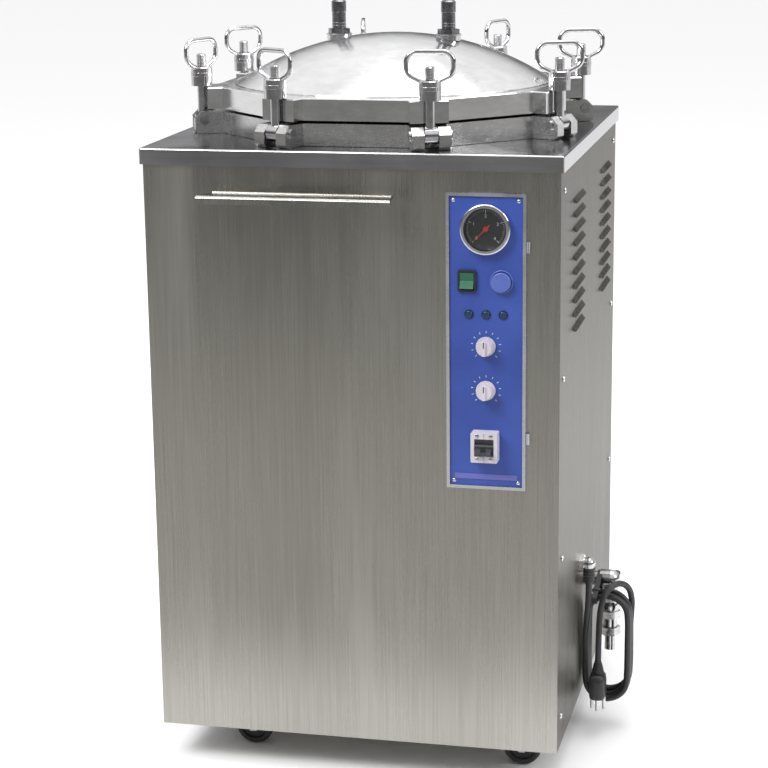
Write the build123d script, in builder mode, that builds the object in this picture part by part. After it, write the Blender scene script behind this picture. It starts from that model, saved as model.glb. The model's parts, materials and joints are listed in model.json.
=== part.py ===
"""Vertical pressure-steam steriliser on casters: stainless housing, round pressure vessel with an octagonal
flange, domed lid held by eight swing-bolt clamps, control panel, drain valve and power cord.

Millimetres, +Z up. The origin is on the floor, under the vessel's axis. +X is the user's right, -Y front.
"""

from build123d import *
from math import atan2, cos, pi, radians, sin, sqrt, tan
import os

# ---- driving dimensions -----------------------------------------------------------------------------------

# housing
WIDTH = 520.0
HALF = WIDTH / 2
BASE_Z = 50.0
HOUSING_H = 757.0
TOP_Z = BASE_Z + HOUSING_H
SHEET = 1.5
RETURN_FOLD = 14.0
COVER_LIP = 20.0
COVER_OVERHANG = 4.0
COVER_FOLD_R = 2.4
COVER_GAP = 0.3
BASE_T = 3.0
DECK_Z = BASE_Z + 16.0
BASE_INSET = 2.0

# ledge grip on the front panel
GRIP_LEFT = -178.0
GRIP_RIGHT = 63.0
GRIP_TAPER_LEFT = 7.0
GRIP_TAPER_RIGHT = 9.0
GRIP_Z = TOP_Z - 54.0
GRIP_REACH = 50.0
GRIP_RISE = 4.0
GRIP_LIP = 10.0
GRIP_T = 2.4
GRIP_ROLL = 4.0

# louvres in the right side panel
LOUVRE_ROWS = 10
LOUVRE_COLS = 2
LOUVRE_PITCH_Z = 18.0
LOUVRE_PITCH_Y = 258.0
LOUVRE_W = 82.0
LOUVRE_SLOT = 5.0
LOUVRE_HOOD = 5.0
LOUVRE_Y = 16.0
LOUVRE_Z = TOP_Z - 153.0

# pressure vessel
CHAMBER_R = 170.0
WALL = 3.0
FLANGE_VERTEX_R = 238.0
FLANGE_Z = TOP_Z + 0.5
FLANGE_TOP = TOP_Z + 28.0
CHAMBER_FLOOR_Z = 290.0
HEAD_DEPTH = 50.0
SKIRT_R = 153.0
LEDGE_Z = 322.0
LEDGE_R = 156.0
COVER_HOLE_R = 178.0

# gasket between the two flanges
GASKET_IN_R = 176.0
GASKET_OUT_R = 186.0
GASKET_DEPTH = 4.0
FLANGE_GAP = 3.5

# lid
LID_Z = FLANGE_TOP + FLANGE_GAP
LID_T = 27.5
LID_TOP = LID_Z + LID_T
LID_BORE_R = 165.0
DOME_R = 206.0
DOME_RISE = 62.0
DOME_T = 4.0
FITTING_X = 73.0
BOSS_R = 16.0
BOSS_TOP = TOP_Z + 118.0

# swing-bolt clamps
CLAMPS = 8
CLAMP_ANGLES = [22.5 + 45.0 * k for k in range(CLAMPS)]
BOLT_CIRCLE_R = 252.0
PIVOT_Z = TOP_Z + 17.5
PIN_R = 4.0
EYE_R = 10.5
EYE_W = 16.0
STUD_R = 6.0
STUD_TOP = TOP_Z + 100.0
EAR_IN = 9.0
EAR_OUT = 24.0
EAR_ROOT_R = 218.0
EAR_END_R = 264.0
LUG_END_R = 247.0
LUG_SLOT = 15.0
NUT_R = 13.5
NUT_Z = LID_TOP + 0.8
NUT_TOP = TOP_Z + 84.0
RING_ROD_R = 3.0
RING_HALF_W = 28.5
RING_H = 35.0
RING_CORNER_R = 13.5
RING_TURN = [-8.0, 0.0, -10.0, 75.0, 44.0, 80.0, 75.0, 42.0]

# casters
CASTER_XY = 181.0
WHEEL_R = 25.0
WHEEL_W = 18.0
CASTER_TRAIL = 23.0
AXLE_R = 3.0
FORK_T = 2.5
STEM_R = 6.0

# control panel
PANEL_X = 170.0
PANEL_W = 98.0
PANEL_TOP = TOP_Z - 46.0
PANEL_BOTTOM = TOP_Z - 413.0
PANEL_H = PANEL_TOP - PANEL_BOTTOM
PANEL_Z = (PANEL_TOP + PANEL_BOTTOM) / 2
FRAME_BAND = 4.0
FRAME_PROUD = 4.0
PLATE_T = 2.0
PLATE_FACE = -HALF - 2.0
GAUGE_Z = TOP_Z - 89.0
GAUGE_R = 31.0
GAUGE_BODY_R = 26.5
GAUGE_DEPTH = 38.0
ROCKER_X = PANEL_X - 23.0
BUTTON_X = PANEL_X + 19.0
SWITCH_Z = TOP_Z - 153.0
ROCKER_W = 16.5
ROCKER_H = 20.5
BUTTON_GUIDE_R = 10.1
LAMP_BODY_R = 3.5
LAMP_Z = TOP_Z - 194.0
LAMP_PITCH = 21.0
KNOB_Z = [TOP_Z - 233.0, TOP_Z - 288.0]
KNOB_R = 12.0
KNOB_SHAFT_R = 3.0
BREAKER_Z = TOP_Z - 357.0
BREAKER_W = 33.0
BREAKER_H = 37.5
BREAKER_POCKET_W = 24.0
BREAKER_POCKET_H = 22.0

# drain valve on the right side
DRAIN_Y = 15.0
DRAIN_Z = 192.0
DRAIN_X = 292.0
PIPE_R = 10.0
DRAIN_STEM_Z = 154.0
TAIL_R = 7.5
TAIL_LENGTH = 22.0
TAIL_END_Z = 92.0

# power cord
CORD_D = 8.4
GLAND_Y = -62.0
GLAND_Z = 238.0
GLAND_MOUTH_Z = 212.0
CORD_X = 272.0
HANK_X = 294.5
HANK_FOLD_R = 28.0
HANK_TOP_Z = 190.0
HANK_BOTTOM_Z = 38.0
HANK_FRONT_Y = -50.4
HANK_DEPTH = 47.4
PLUG_X = 286.0
PLUG_Y = -66.0
PLUG_ENTRY_Z = 102.0
PLUG_TOP_Z = PLUG_ENTRY_Z - 16

os.makedirs("parts", exist_ok=True)


def save(built, name):
    """Labels a finished piece and writes it as its own STEP file."""
    built.part.label = name
    export_step(built.part, f"parts/{name}.step")


def radial_plane(angle, height):
    """A horizontal plane on the vessel's axis, whose x points outward at this angle."""
    outward = (cos(radians(angle)), sin(radians(angle)), 0)
    return Plane(origin=(0, 0, height), x_dir=outward, z_dir=(0, 0, 1))


def front_plane(x, z, y):
    """A vertical plane facing the front, with x to the right and its own y up."""
    return Plane(origin=(x, y, z), x_dir=(1, 0, 0), z_dir=(0, -1, 0))


# ---- housing ----------------------------------------------------------------------------------------------


def make_base():
    """Deck of the housing, set up inside its lower edge, with a hole for each caster's stem."""
    side = WIDTH - 2 * (SHEET + BASE_INSET)
    with BuildPart() as base_plate:
        with BuildSketch(Plane.XY.offset(DECK_Z)):
            RectangleRounded(side, side, 6)
            with GridLocations(2 * CASTER_XY, 2 * CASTER_XY, 2, 2):
                Circle(STEM_R + 0.08, mode=Mode.SUBTRACT)
        extrude(amount=BASE_T)
    save(base_plate, "base_plate")


def grip_ledge():
    """Ledge grip: a sheet rising to a rolled front edge with a turned-down lip, narrower at the panel."""
    profile_plane = Plane(origin=(GRIP_LEFT, -HALF, GRIP_Z), x_dir=(0, -1, 0), z_dir=(-1, 0, 0))
    front_y = -HALF - GRIP_REACH
    with BuildPart() as ledge:
        with BuildSketch(profile_plane) as profile:
            with BuildLine():
                Polyline(
                    (0, 0),
                    (GRIP_REACH, GRIP_RISE),
                    (GRIP_REACH, GRIP_RISE - GRIP_LIP),
                    (GRIP_REACH - GRIP_T, GRIP_RISE - GRIP_LIP),
                    (GRIP_REACH - GRIP_T, GRIP_RISE - GRIP_T),
                    (0, -GRIP_T),
                    close=True,
                )
            make_face()
            fillet(profile.vertices().sort_by(Axis.Y)[-1], GRIP_ROLL)
        extrude(amount=GRIP_LEFT - GRIP_RIGHT)
        with BuildSketch(Plane.XY.offset(GRIP_Z - GRIP_LIP)):
            with BuildLine():
                root = GRIP_LEFT + GRIP_TAPER_LEFT
                Polyline((GRIP_LEFT, front_y), (GRIP_LEFT, -HALF), (root, -HALF), close=True)
            make_face()
            with BuildLine():
                root = GRIP_RIGHT - GRIP_TAPER_RIGHT
                Polyline((GRIP_RIGHT, front_y), (GRIP_RIGHT, -HALF), (root, -HALF), close=True)
            make_face()
        extrude(amount=3 * GRIP_LIP, mode=Mode.SUBTRACT)
    return ledge.part


def make_front():
    """Front sheet with folded returns, an aperture behind the control panel, and the ledge grip."""
    grip = grip_ledge()
    with BuildPart() as front_panel:
        with BuildSketch(Plane.XY.offset(BASE_Z)):
            with Locations((0, -HALF + SHEET / 2)):
                Rectangle(WIDTH, SHEET)
            for side in (-1, 1):
                with Locations((side * (HALF - SHEET / 2), -HALF + RETURN_FOLD / 2)):
                    Rectangle(SHEET, RETURN_FOLD)
        extrude(amount=HOUSING_H - SHEET - COVER_GAP)
        with BuildSketch(front_plane(PANEL_X, PANEL_Z, -HALF)):
            Rectangle(PANEL_W - 4 * FRAME_BAND, PANEL_H - 4 * FRAME_BAND)
        extrude(amount=-SHEET, mode=Mode.SUBTRACT)
        add(grip)
    save(front_panel, "front_panel")


def side_sheet(side):
    """One side sheet between the front and rear sheets' folds, as a builder still open to more cuts."""
    depth = WIDTH - 2 * SHEET - 0.4
    with BuildPart() as sheet:
        with BuildSketch(Plane.XY.offset(BASE_Z)):
            with Locations((side * (HALF - SHEET / 2), 0)):
                Rectangle(SHEET, WIDTH - 2 * RETURN_FOLD - 0.4)
            for end in (-1, 1):
                with Locations((side * (HALF - SHEET * 1.5 - 0.2), end * (depth / 2 - RETURN_FOLD))):
                    Rectangle(SHEET, 2 * RETURN_FOLD - 3)
        extrude(amount=HOUSING_H - SHEET - COVER_GAP)
    return sheet


def make_sides():
    """Plain left sheet, and a right sheet with louvres and holes for the drain pipe and the cord's gland."""
    left = side_sheet(-1)
    save(left, "left_side_panel")

    right = side_sheet(1)
    outer = Plane(origin=(HALF, LOUVRE_Y, LOUVRE_Z), x_dir=(0, 1, 0), z_dir=(1, 0, 0))
    with BuildPart() as right_panel:
        add(right.part)
        with BuildSketch(outer):
            with GridLocations(LOUVRE_PITCH_Y, LOUVRE_PITCH_Z, LOUVRE_COLS, LOUVRE_ROWS):
                Rectangle(LOUVRE_W - 4, LOUVRE_SLOT)
        extrude(amount=-3 * SHEET, mode=Mode.SUBTRACT)
        for row in range(LOUVRE_ROWS):
            z = LOUVRE_Z + (row - (LOUVRE_ROWS - 1) / 2) * LOUVRE_PITCH_Z + LOUVRE_SLOT / 2
            for col in range(LOUVRE_COLS):
                y = LOUVRE_Y + (col - (LOUVRE_COLS - 1) / 2) * LOUVRE_PITCH_Y - LOUVRE_W / 2
                with BuildSketch(Plane(origin=(HALF, y, z), x_dir=(1, 0, 0), z_dir=(0, -1, 0))):
                    with BuildLine():
                        Polyline(
                            (-SHEET, 0.0),
                            (0.0, 3.0),
                            (LOUVRE_HOOD, -3.0),
                            (LOUVRE_HOOD - 1.2, -4.0),
                            (-SHEET, -0.4),
                            close=True,
                        )
                    make_face()
                extrude(amount=-LOUVRE_W)
        with BuildSketch(Plane(origin=(HALF, 0, 0), x_dir=(0, 1, 0), z_dir=(1, 0, 0))):
            with Locations((DRAIN_Y, DRAIN_Z)):
                Circle(PIPE_R + 1.5)
            with Locations((GLAND_Y, GLAND_Z)):
                Circle(8.2)
        extrude(amount=-3 * SHEET, mode=Mode.SUBTRACT)
    save(right_panel, "right_side_panel")


def make_rear():
    """Plain rear sheet with folded returns."""
    with BuildPart() as rear_panel:
        with BuildSketch(Plane.XY.offset(BASE_Z)):
            with Locations((0, HALF - SHEET / 2)):
                Rectangle(WIDTH, SHEET)
            for side in (-1, 1):
                with Locations((side * (HALF - SHEET / 2), HALF - RETURN_FOLD / 2)):
                    Rectangle(SHEET, RETURN_FOLD)
        extrude(amount=HOUSING_H - SHEET - COVER_GAP)
    save(rear_panel, "rear_panel")


def make_cover():
    """Top sheet with a folded lip all round and the round hole that the vessel passes through."""
    side = WIDTH + 2 * COVER_OVERHANG
    with BuildPart() as top_cover:
        with BuildSketch(Plane.XY.offset(TOP_Z - COVER_LIP)):
            Rectangle(side, side)
        extrude(amount=COVER_LIP)
        rim = top_cover.edges().filter_by(Axis.Z)
        fillet(rim, 3)
        fillet(top_cover.faces().sort_by(Axis.Z)[-1].edges(), COVER_FOLD_R)
        with BuildSketch(Plane.XY.offset(TOP_Z - COVER_LIP)):
            Rectangle(side - 2 * SHEET, side - 2 * SHEET)
        extrude(amount=COVER_LIP - SHEET, mode=Mode.SUBTRACT)
        with BuildSketch(Plane.XY.offset(TOP_Z - SHEET)):
            Circle(COVER_HOLE_R)
        extrude(amount=SHEET, mode=Mode.SUBTRACT)
    save(top_cover, "top_cover")


SCREW_R = 4.0
SCREW_T = 2.2


def make_screws():
    """Dome-head screws that hold the side and rear sheets, as separate solids."""
    rows = [BASE_Z + 40, BASE_Z + 250, BASE_Z + 480, TOP_Z - 45]
    with BuildPart() as panel_screws:
        for side in (-1, 1):
            facing = Plane(origin=(side * HALF, 0, 0), x_dir=(0, 1, 0), z_dir=(side, 0, 0))
            for z in rows:
                for y in (-HALF + 28, HALF - 28):
                    with BuildSketch(facing):
                        with Locations((y, side * z)):
                            Circle(SCREW_R)
                    extrude(amount=SCREW_T)
        facing = Plane(origin=(0, HALF, 0), x_dir=(1, 0, 0), z_dir=(0, 1, 0))
        for z in rows:
            for x in (-HALF + 28, HALF - 28):
                with BuildSketch(facing):
                    with Locations((x, -z)):
                        Circle(SCREW_R)
                extrude(amount=SCREW_T)
        outer_edges = panel_screws.faces().filter_by(GeomType.PLANE).edges()
        reach = [max(abs(e.center().X), abs(e.center().Y)) for e in outer_edges]
        heads = [e for e, r in zip(outer_edges, reach) if abs(r - HALF - SCREW_T) < 0.01]
        fillet(heads, 1.4)
    save(panel_screws, "panel_screws")


# ---- pressure vessel --------------------------------------------------------------------------------------


def octagon(vertex_r):
    """An octagon in the current sketch, with its corners on the clamps' angles."""
    RegularPolygon(vertex_r, CLAMPS, major_radius=True, rotation=CLAMP_ANGLES[0])


def head_point(radius, thickness=0.0):
    """Height of the dished bottom at this radius, on its inner face or this far outside it."""
    ball = (CHAMBER_R**2 + HEAD_DEPTH**2) / (2 * HEAD_DEPTH)
    centre_z = CHAMBER_FLOOR_Z - HEAD_DEPTH + ball
    return centre_z - sqrt((ball + thickness) ** 2 - radius**2)


def make_vessel():
    """Chamber, dished bottom, skirt, inner ledge, octagonal flange with gasket groove, and bracket ears."""
    mid = CHAMBER_R / 2
    outer = CHAMBER_R + WALL
    with BuildPart() as vessel:
        with BuildSketch(Plane.XZ):
            with BuildLine():
                ThreePointArc((0, head_point(0)), (mid, head_point(mid)), (CHAMBER_R, head_point(CHAMBER_R)))
                Polyline(
                    (CHAMBER_R, head_point(CHAMBER_R)),
                    (CHAMBER_R, LEDGE_Z - 4),
                    (LEDGE_R, LEDGE_Z - 4),
                    (LEDGE_R, LEDGE_Z),
                    (CHAMBER_R, LEDGE_Z),
                    (CHAMBER_R, FLANGE_TOP),
                    (outer, FLANGE_TOP),
                    (outer, head_point(outer, WALL)),
                )
                ThreePointArc(
                    (outer, head_point(outer, WALL)),
                    (mid, head_point(mid, WALL)),
                    (0, head_point(0, WALL)),
                )
                Line((0, head_point(0, WALL)), (0, head_point(0)))
            make_face()
        revolve(axis=Axis.Z)
        with BuildSketch(Plane.XY.offset(FLANGE_Z)):
            octagon(FLANGE_VERTEX_R)
            Circle(CHAMBER_R + 1, mode=Mode.SUBTRACT)
        extrude(amount=FLANGE_TOP - FLANGE_Z)
        skirt_top = head_point(SKIRT_R, WALL / 2)
        skirt_foot = DECK_Z + BASE_T
        with BuildSketch(Plane.XY.offset(skirt_foot)):
            Circle(SKIRT_R)
            Circle(SKIRT_R - WALL, mode=Mode.SUBTRACT)
        extrude(amount=skirt_top - skirt_foot)
        for angle in CLAMP_ANGLES:
            for side in (-1, 1):
                ear = Plane(
                    origin=radial_plane(angle, FLANGE_Z).from_local_coords((0, side * EAR_IN, 0)),
                    x_dir=radial_plane(angle, 0).x_dir,
                    z_dir=radial_plane(angle, 0).y_dir * -side,
                )
                up = 1 if ear.y_dir.Z > 0 else -1
                with BuildSketch(ear):
                    with BuildLine():
                        Polyline(
                            (EAR_ROOT_R, 0),
                            (EAR_END_R - 4, 0),
                            (EAR_END_R, up * 4),
                            (EAR_END_R, up * (FLANGE_TOP - FLANGE_Z - 9)),
                            (EAR_END_R - 9, up * (FLANGE_TOP - FLANGE_Z)),
                            (EAR_ROOT_R, up * (FLANGE_TOP - FLANGE_Z)),
                            close=True,
                        )
                    make_face()
                extrude(amount=-(EAR_OUT - EAR_IN))
        for angle in CLAMP_ANGLES:
            across = Plane(
                origin=radial_plane(angle, PIVOT_Z).from_local_coords((BOLT_CIRCLE_R, 0, 0)),
                z_dir=radial_plane(angle, 0).y_dir,
            )
            with BuildSketch(across):
                Circle(PIN_R + 0.05)
            extrude(amount=EAR_OUT + 1, both=True, mode=Mode.SUBTRACT)
        with BuildSketch(Plane.XY.offset(FLANGE_TOP)):
            Circle(GASKET_OUT_R + 0.3)
            Circle(GASKET_IN_R - 0.3, mode=Mode.SUBTRACT)
        extrude(amount=-GASKET_DEPTH, mode=Mode.SUBTRACT)
    save(vessel, "vessel")


def make_pins():
    """Headed pivot pins across the bracket ears, one for each clamp."""
    with BuildPart() as pivot_pins:
        for angle in CLAMP_ANGLES:
            across = Plane(
                origin=radial_plane(angle, PIVOT_Z).from_local_coords((BOLT_CIRCLE_R, 0, 0)),
                z_dir=radial_plane(angle, 0).y_dir,
            )
            with BuildSketch(across):
                Circle(PIN_R)
            extrude(amount=EAR_OUT + 0.2, both=True)
            for side in (-1, 1):
                with BuildSketch(across.offset(side * (EAR_OUT + 0.2))):
                    Circle(PIN_R + 2)
                extrude(amount=side * 2.5)
    save(pivot_pins, "pivot_pins")


def make_gasket():
    """Silicone ring in the vessel flange's groove, on which the lid rests."""
    with BuildPart() as gasket:
        with BuildSketch(Plane.XY.offset(FLANGE_TOP - GASKET_DEPTH)):
            Circle(GASKET_OUT_R)
            Circle(GASKET_IN_R, mode=Mode.SUBTRACT)
        extrude(amount=GASKET_DEPTH + FLANGE_GAP - 0.1)
    save(gasket, "gasket")


HEATER_Z = 304.0
HEATER_ROD_R = 5.0
HEATER_FLANGE_Y = -CHAMBER_R - WALL


def make_heater():
    """Immersion heater: one loop of sheathed rod whose two tails leave through the vessel's wall."""
    half = [(22, HEATER_FLANGE_Y - 4), (22, -112), (104, -64), (104, 64), (56, 108)]
    route = [(-x, y) for x, y in half] + [(x, y) for x, y in reversed(half)]
    with BuildPart() as heating_element:
        with BuildLine(Plane.XY.offset(HEATER_Z)) as path:
            FilletPolyline(*route, radius=18)
        with BuildSketch(Plane(origin=path.wires()[0] @ 0, z_dir=path.wires()[0] % 0)):
            Circle(HEATER_ROD_R)
        sweep(path=path.wires()[0])
        with BuildSketch(front_plane(0, HEATER_Z, HEATER_FLANGE_Y - 1)):
            RectangleRounded(80, 26, 6)
        extrude(amount=5)
    save(heating_element, "heating_element")


BASKET_R = 163.0
BASKET_TOP = FLANGE_TOP - 70.0


def make_basket():
    """Round load basket that stands on the vessel's inner ledge, with a beaded rim."""
    with BuildPart() as basket:
        with BuildSketch(Plane.XY.offset(LEDGE_Z + 0.2)):
            Circle(BASKET_R)
        extrude(amount=BASKET_TOP - LEDGE_Z)
        with BuildSketch(Plane.XY.offset(LEDGE_Z + 2.2)):
            Circle(BASKET_R - 2)
        extrude(amount=BASKET_TOP - LEDGE_Z, mode=Mode.SUBTRACT)
        with BuildSketch(Plane.XY.offset(BASKET_TOP - 5)):
            Circle(BASKET_R + 2.5)
            Circle(BASKET_R - 2, mode=Mode.SUBTRACT)
        extrude(amount=5)
    save(basket, "basket")


# ---- lid --------------------------------------------------------------------------------------------------


def make_lid():
    """Octagonal lid flange with a notched lug under each nut, a domed cover and two threaded bosses."""
    ball = (DOME_R**2 + DOME_RISE**2) / (2 * DOME_RISE)
    centre_z = LID_TOP + DOME_RISE - ball
    start = LID_TOP - 2
    outer_r = sqrt(ball**2 - (start - centre_z) ** 2)
    inner = ball - DOME_T
    inner_r = sqrt(inner**2 - (start - centre_z) ** 2)
    half_angle = atan2(outer_r, start - centre_z) / 2
    with BuildPart() as lid:
        with BuildSketch(Plane.XY.offset(LID_Z)):
            octagon(FLANGE_VERTEX_R)
        extrude(amount=LID_T)
        for angle in CLAMP_ANGLES:
            with BuildSketch(radial_plane(angle, LID_Z)):
                with Locations(((EAR_ROOT_R + LUG_END_R) / 2, 0)):
                    Rectangle(LUG_END_R - EAR_ROOT_R, 2 * EAR_OUT)
            extrude(amount=LID_T)
        flange_edges = lid.faces().sort_by(Axis.Z)[-1].outer_wire().edges()
        chamfer(flange_edges, 1.5)
        for angle in CLAMP_ANGLES:
            with BuildSketch(radial_plane(angle, LID_Z)):
                with Locations((BOLT_CIRCLE_R - STUD_R - 3 + 20, 0)):
                    Rectangle(40, LUG_SLOT)
            extrude(amount=LID_T, mode=Mode.SUBTRACT)
        with BuildSketch(Plane.XY.offset(LID_Z)):
            Circle(LID_BORE_R)
        extrude(amount=LID_T, mode=Mode.SUBTRACT)
        with BuildSketch(Plane.XZ):
            with BuildLine():
                ThreePointArc(
                    (outer_r, start),
                    (ball * sin(half_angle), centre_z + ball * cos(half_angle)),
                    (0, centre_z + ball),
                )
                Line((0, centre_z + ball), (0, centre_z + inner))
                ThreePointArc(
                    (0, centre_z + inner),
                    (inner * sin(half_angle), centre_z + inner * cos(half_angle)),
                    (inner_r, start),
                )
                Line((inner_r, start), (outer_r, start))
            make_face()
        revolve(axis=Axis.Z)
        with BuildSketch(Plane.XY.offset(centre_z + sqrt(inner**2 - FITTING_X**2) + 2)):
            with Locations((-FITTING_X, 0), (FITTING_X, 0)):
                Circle(BOSS_R)
        extrude(amount=BOSS_TOP - (centre_z + sqrt(inner**2 - FITTING_X**2) + 2))
        with BuildSketch(Plane.XY.offset(BOSS_TOP)):
            with Locations((-FITTING_X, 0), (FITTING_X, 0)):
                Circle(4)
        extrude(amount=-30, mode=Mode.SUBTRACT)
    save(lid, "lid")


HEX_R = 14.5
HEX_H = 8.0
BODY_R = 9.0
BODY_H = 22.0
CAP_R = 9.6
CAP_H = 15.0
VALVE_STEM_R = 2.0


def fitting_body(x, stem_hole):
    """A valve on a lid boss: hexagon, round body and cap, bored down its axis when it has a stem."""
    with BuildPart() as body:
        with BuildSketch(Plane.XY.offset(BOSS_TOP)):
            with Locations((x, 0)):
                RegularPolygon(HEX_R, 6)
        extrude(amount=HEX_H)
        with BuildSketch(Plane.XY.offset(BOSS_TOP + HEX_H)):
            with Locations((x, 0)):
                Circle(BODY_R)
        extrude(amount=BODY_H)
        with BuildSketch(Plane.XY.offset(BOSS_TOP + HEX_H + BODY_H)):
            with Locations((x, 0)):
                Circle(CAP_R)
        extrude(amount=CAP_H)
        chamfer(body.faces().sort_by(Axis.Z)[-1].edges(), 2)
        if stem_hole:
            with BuildSketch(Plane.XY.offset(BOSS_TOP + 2)):
                with Locations((x, 0)):
                    Circle(VALVE_STEM_R + 0.1)
            extrude(amount=HEX_H + BODY_H + CAP_H, mode=Mode.SUBTRACT)
    return body


def make_fittings():
    """Safety valve with its pull stem on the left of the dome, and the vent valve on the right."""
    save(fitting_body(-FITTING_X, True), "safety_valve")
    save(fitting_body(FITTING_X, False), "vent_valve")
    cap_z = BOSS_TOP + HEX_H + BODY_H + CAP_H
    ring_z = cap_z + 18
    with BuildPart() as stem:
        with BuildSketch(Plane.XY.offset(BOSS_TOP + 3)):
            with Locations((-FITTING_X, 0)):
                Circle(VALVE_STEM_R)
        extrude(amount=ring_z - 6 - BOSS_TOP - 3)
        with BuildSketch(Plane(origin=(-FITTING_X + 7, 0, ring_z), z_dir=(0, 0, 1))):
            Circle(1.4)
        revolve(axis=Axis((-FITTING_X, 0, ring_z), (0, 1, 0)), revolution_arc=360)
    save(stem, "safety_valve_stem")


# ---- clamps -----------------------------------------------------------------------------------------------


def make_swing_bolt(number, angle):
    """Eye bolt that pivots on its pin between a bracket's ears."""
    centre = radial_plane(angle, PIVOT_Z).from_local_coords((BOLT_CIRCLE_R, 0, 0))
    across = Plane(origin=centre, z_dir=radial_plane(angle, 0).y_dir)
    with BuildPart() as bolt:
        with BuildSketch(across):
            Circle(EYE_R)
        extrude(amount=EYE_W / 2, both=True)
        with BuildSketch(Plane(origin=centre, z_dir=(0, 0, 1))):
            Circle(STUD_R)
        extrude(amount=STUD_TOP - PIVOT_Z)
        chamfer(bolt.faces().sort_by(Axis.Z)[-1].edges(), 1.2)
        with BuildSketch(across):
            Circle(PIN_R + 0.06)
        extrude(amount=EYE_W, both=True, mode=Mode.SUBTRACT)
    save(bolt, f"swing_bolt_{number}")


def make_ring_nut(number, angle):
    """Round clamping nut with a D-shaped ring handle welded to its top."""
    centre = radial_plane(angle, 0).from_local_coords((BOLT_CIRCLE_R, 0, 0))
    turned = angle + RING_TURN[number - 1]
    facing = Plane(
        origin=(centre.X, centre.Y, NUT_TOP),
        x_dir=(cos(radians(turned)), sin(radians(turned)), 0),
        z_dir=(sin(radians(turned)), -cos(radians(turned)), 0),
    )
    lift = RING_ROD_R - 1
    outline = [
        (-9.8, -2.0),
        (-RING_HALF_W, lift + 5.0),
        (-RING_HALF_W, lift + RING_H - RING_ROD_R),
        (RING_HALF_W, lift + RING_H - RING_ROD_R),
        (RING_HALF_W, lift + 5.0),
        (9.8, -2.0),
    ]
    with BuildPart() as nut:
        with BuildSketch(Plane(origin=(centre.X, centre.Y, NUT_Z), z_dir=(0, 0, 1))):
            Circle(NUT_R)
        extrude(amount=NUT_TOP - NUT_Z)
        chamfer(nut.faces().sort_by(Axis.Z)[-1].edges(), 1.5)
        with BuildLine(facing) as path:
            FilletPolyline(*outline, radius=RING_CORNER_R)
        with BuildSketch(Plane(origin=path.wires()[0] @ 0, z_dir=path.wires()[0] % 0)):
            Circle(RING_ROD_R)
        sweep(path=path.wires()[0])
        with BuildSketch(Plane(origin=(centre.X, centre.Y, NUT_Z - 5), z_dir=(0, 0, 1))):
            Circle(STUD_R + 0.06)
        extrude(amount=NUT_TOP - NUT_Z + 12, mode=Mode.SUBTRACT)
    save(nut, f"ring_nut_{number}")


# ---- casters ----------------------------------------------------------------------------------------------

CASTER_PLACES = {
    "front_left": (-CASTER_XY, -CASTER_XY),
    "front_right": (CASTER_XY, -CASTER_XY),
    "rear_left": (-CASTER_XY, CASTER_XY),
    "rear_right": (CASTER_XY, CASTER_XY),
}


def make_caster(place, x, y):
    """Swivel fork with its stem and axle, and the wheel that turns on the axle."""
    axle_x = x + CASTER_TRAIL
    cheek = WHEEL_W / 2 + 1.0
    axle_drop = WHEEL_R - DECK_Z + 4
    with BuildPart() as fork:
        with BuildSketch(Plane.XY.offset(DECK_Z - 1.0)):
            with Locations((x, y)):
                Circle(17)
        extrude(amount=-5)
        with BuildSketch(Plane.XY.offset(DECK_Z - 3)):
            with Locations((x, y)):
                Circle(STEM_R)
        extrude(amount=BASE_T + 9)
        for side in (-1, 1):
            inner = Plane(origin=(x, y + side * cheek, DECK_Z - 4), x_dir=(1, 0, 0), z_dir=(0, -1, 0))
            with BuildSketch(inner):
                with BuildLine():
                    Polyline(
                        (-10, 0),
                        (12, 0),
                        (CASTER_TRAIL + 6, axle_drop + 3),
                        (CASTER_TRAIL + 4, axle_drop - 6),
                        (CASTER_TRAIL - 4, axle_drop - 6),
                        (-10, -8),
                        close=True,
                    )
                make_face()
            extrude(amount=-side * FORK_T)
        with BuildSketch(Plane(origin=(axle_x, y - cheek - FORK_T - 2, WHEEL_R), z_dir=(0, 1, 0))):
            Circle(AXLE_R)
        extrude(amount=2 * (cheek + FORK_T + 2))
    save(fork, f"caster_fork_{place}")

    with BuildPart() as wheel:
        with BuildSketch(Plane(origin=(axle_x, y, WHEEL_R), z_dir=(0, 1, 0))):
            Circle(WHEEL_R)
        extrude(amount=WHEEL_W / 2, both=True)
        rims = wheel.edges().filter_by(GeomType.CIRCLE)
        fillet(rims, 2.5)
        with BuildSketch(Plane(origin=(axle_x, y, WHEEL_R), z_dir=(0, 1, 0))):
            Circle(AXLE_R + 0.06)
        extrude(amount=WHEEL_W, both=True, mode=Mode.SUBTRACT)
    save(wheel, f"caster_wheel_{place}")


# ---- control panel ----------------------------------------------------------------------------------------


HINGE_R = 2.5
HINGE_L = 14.0


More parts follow.
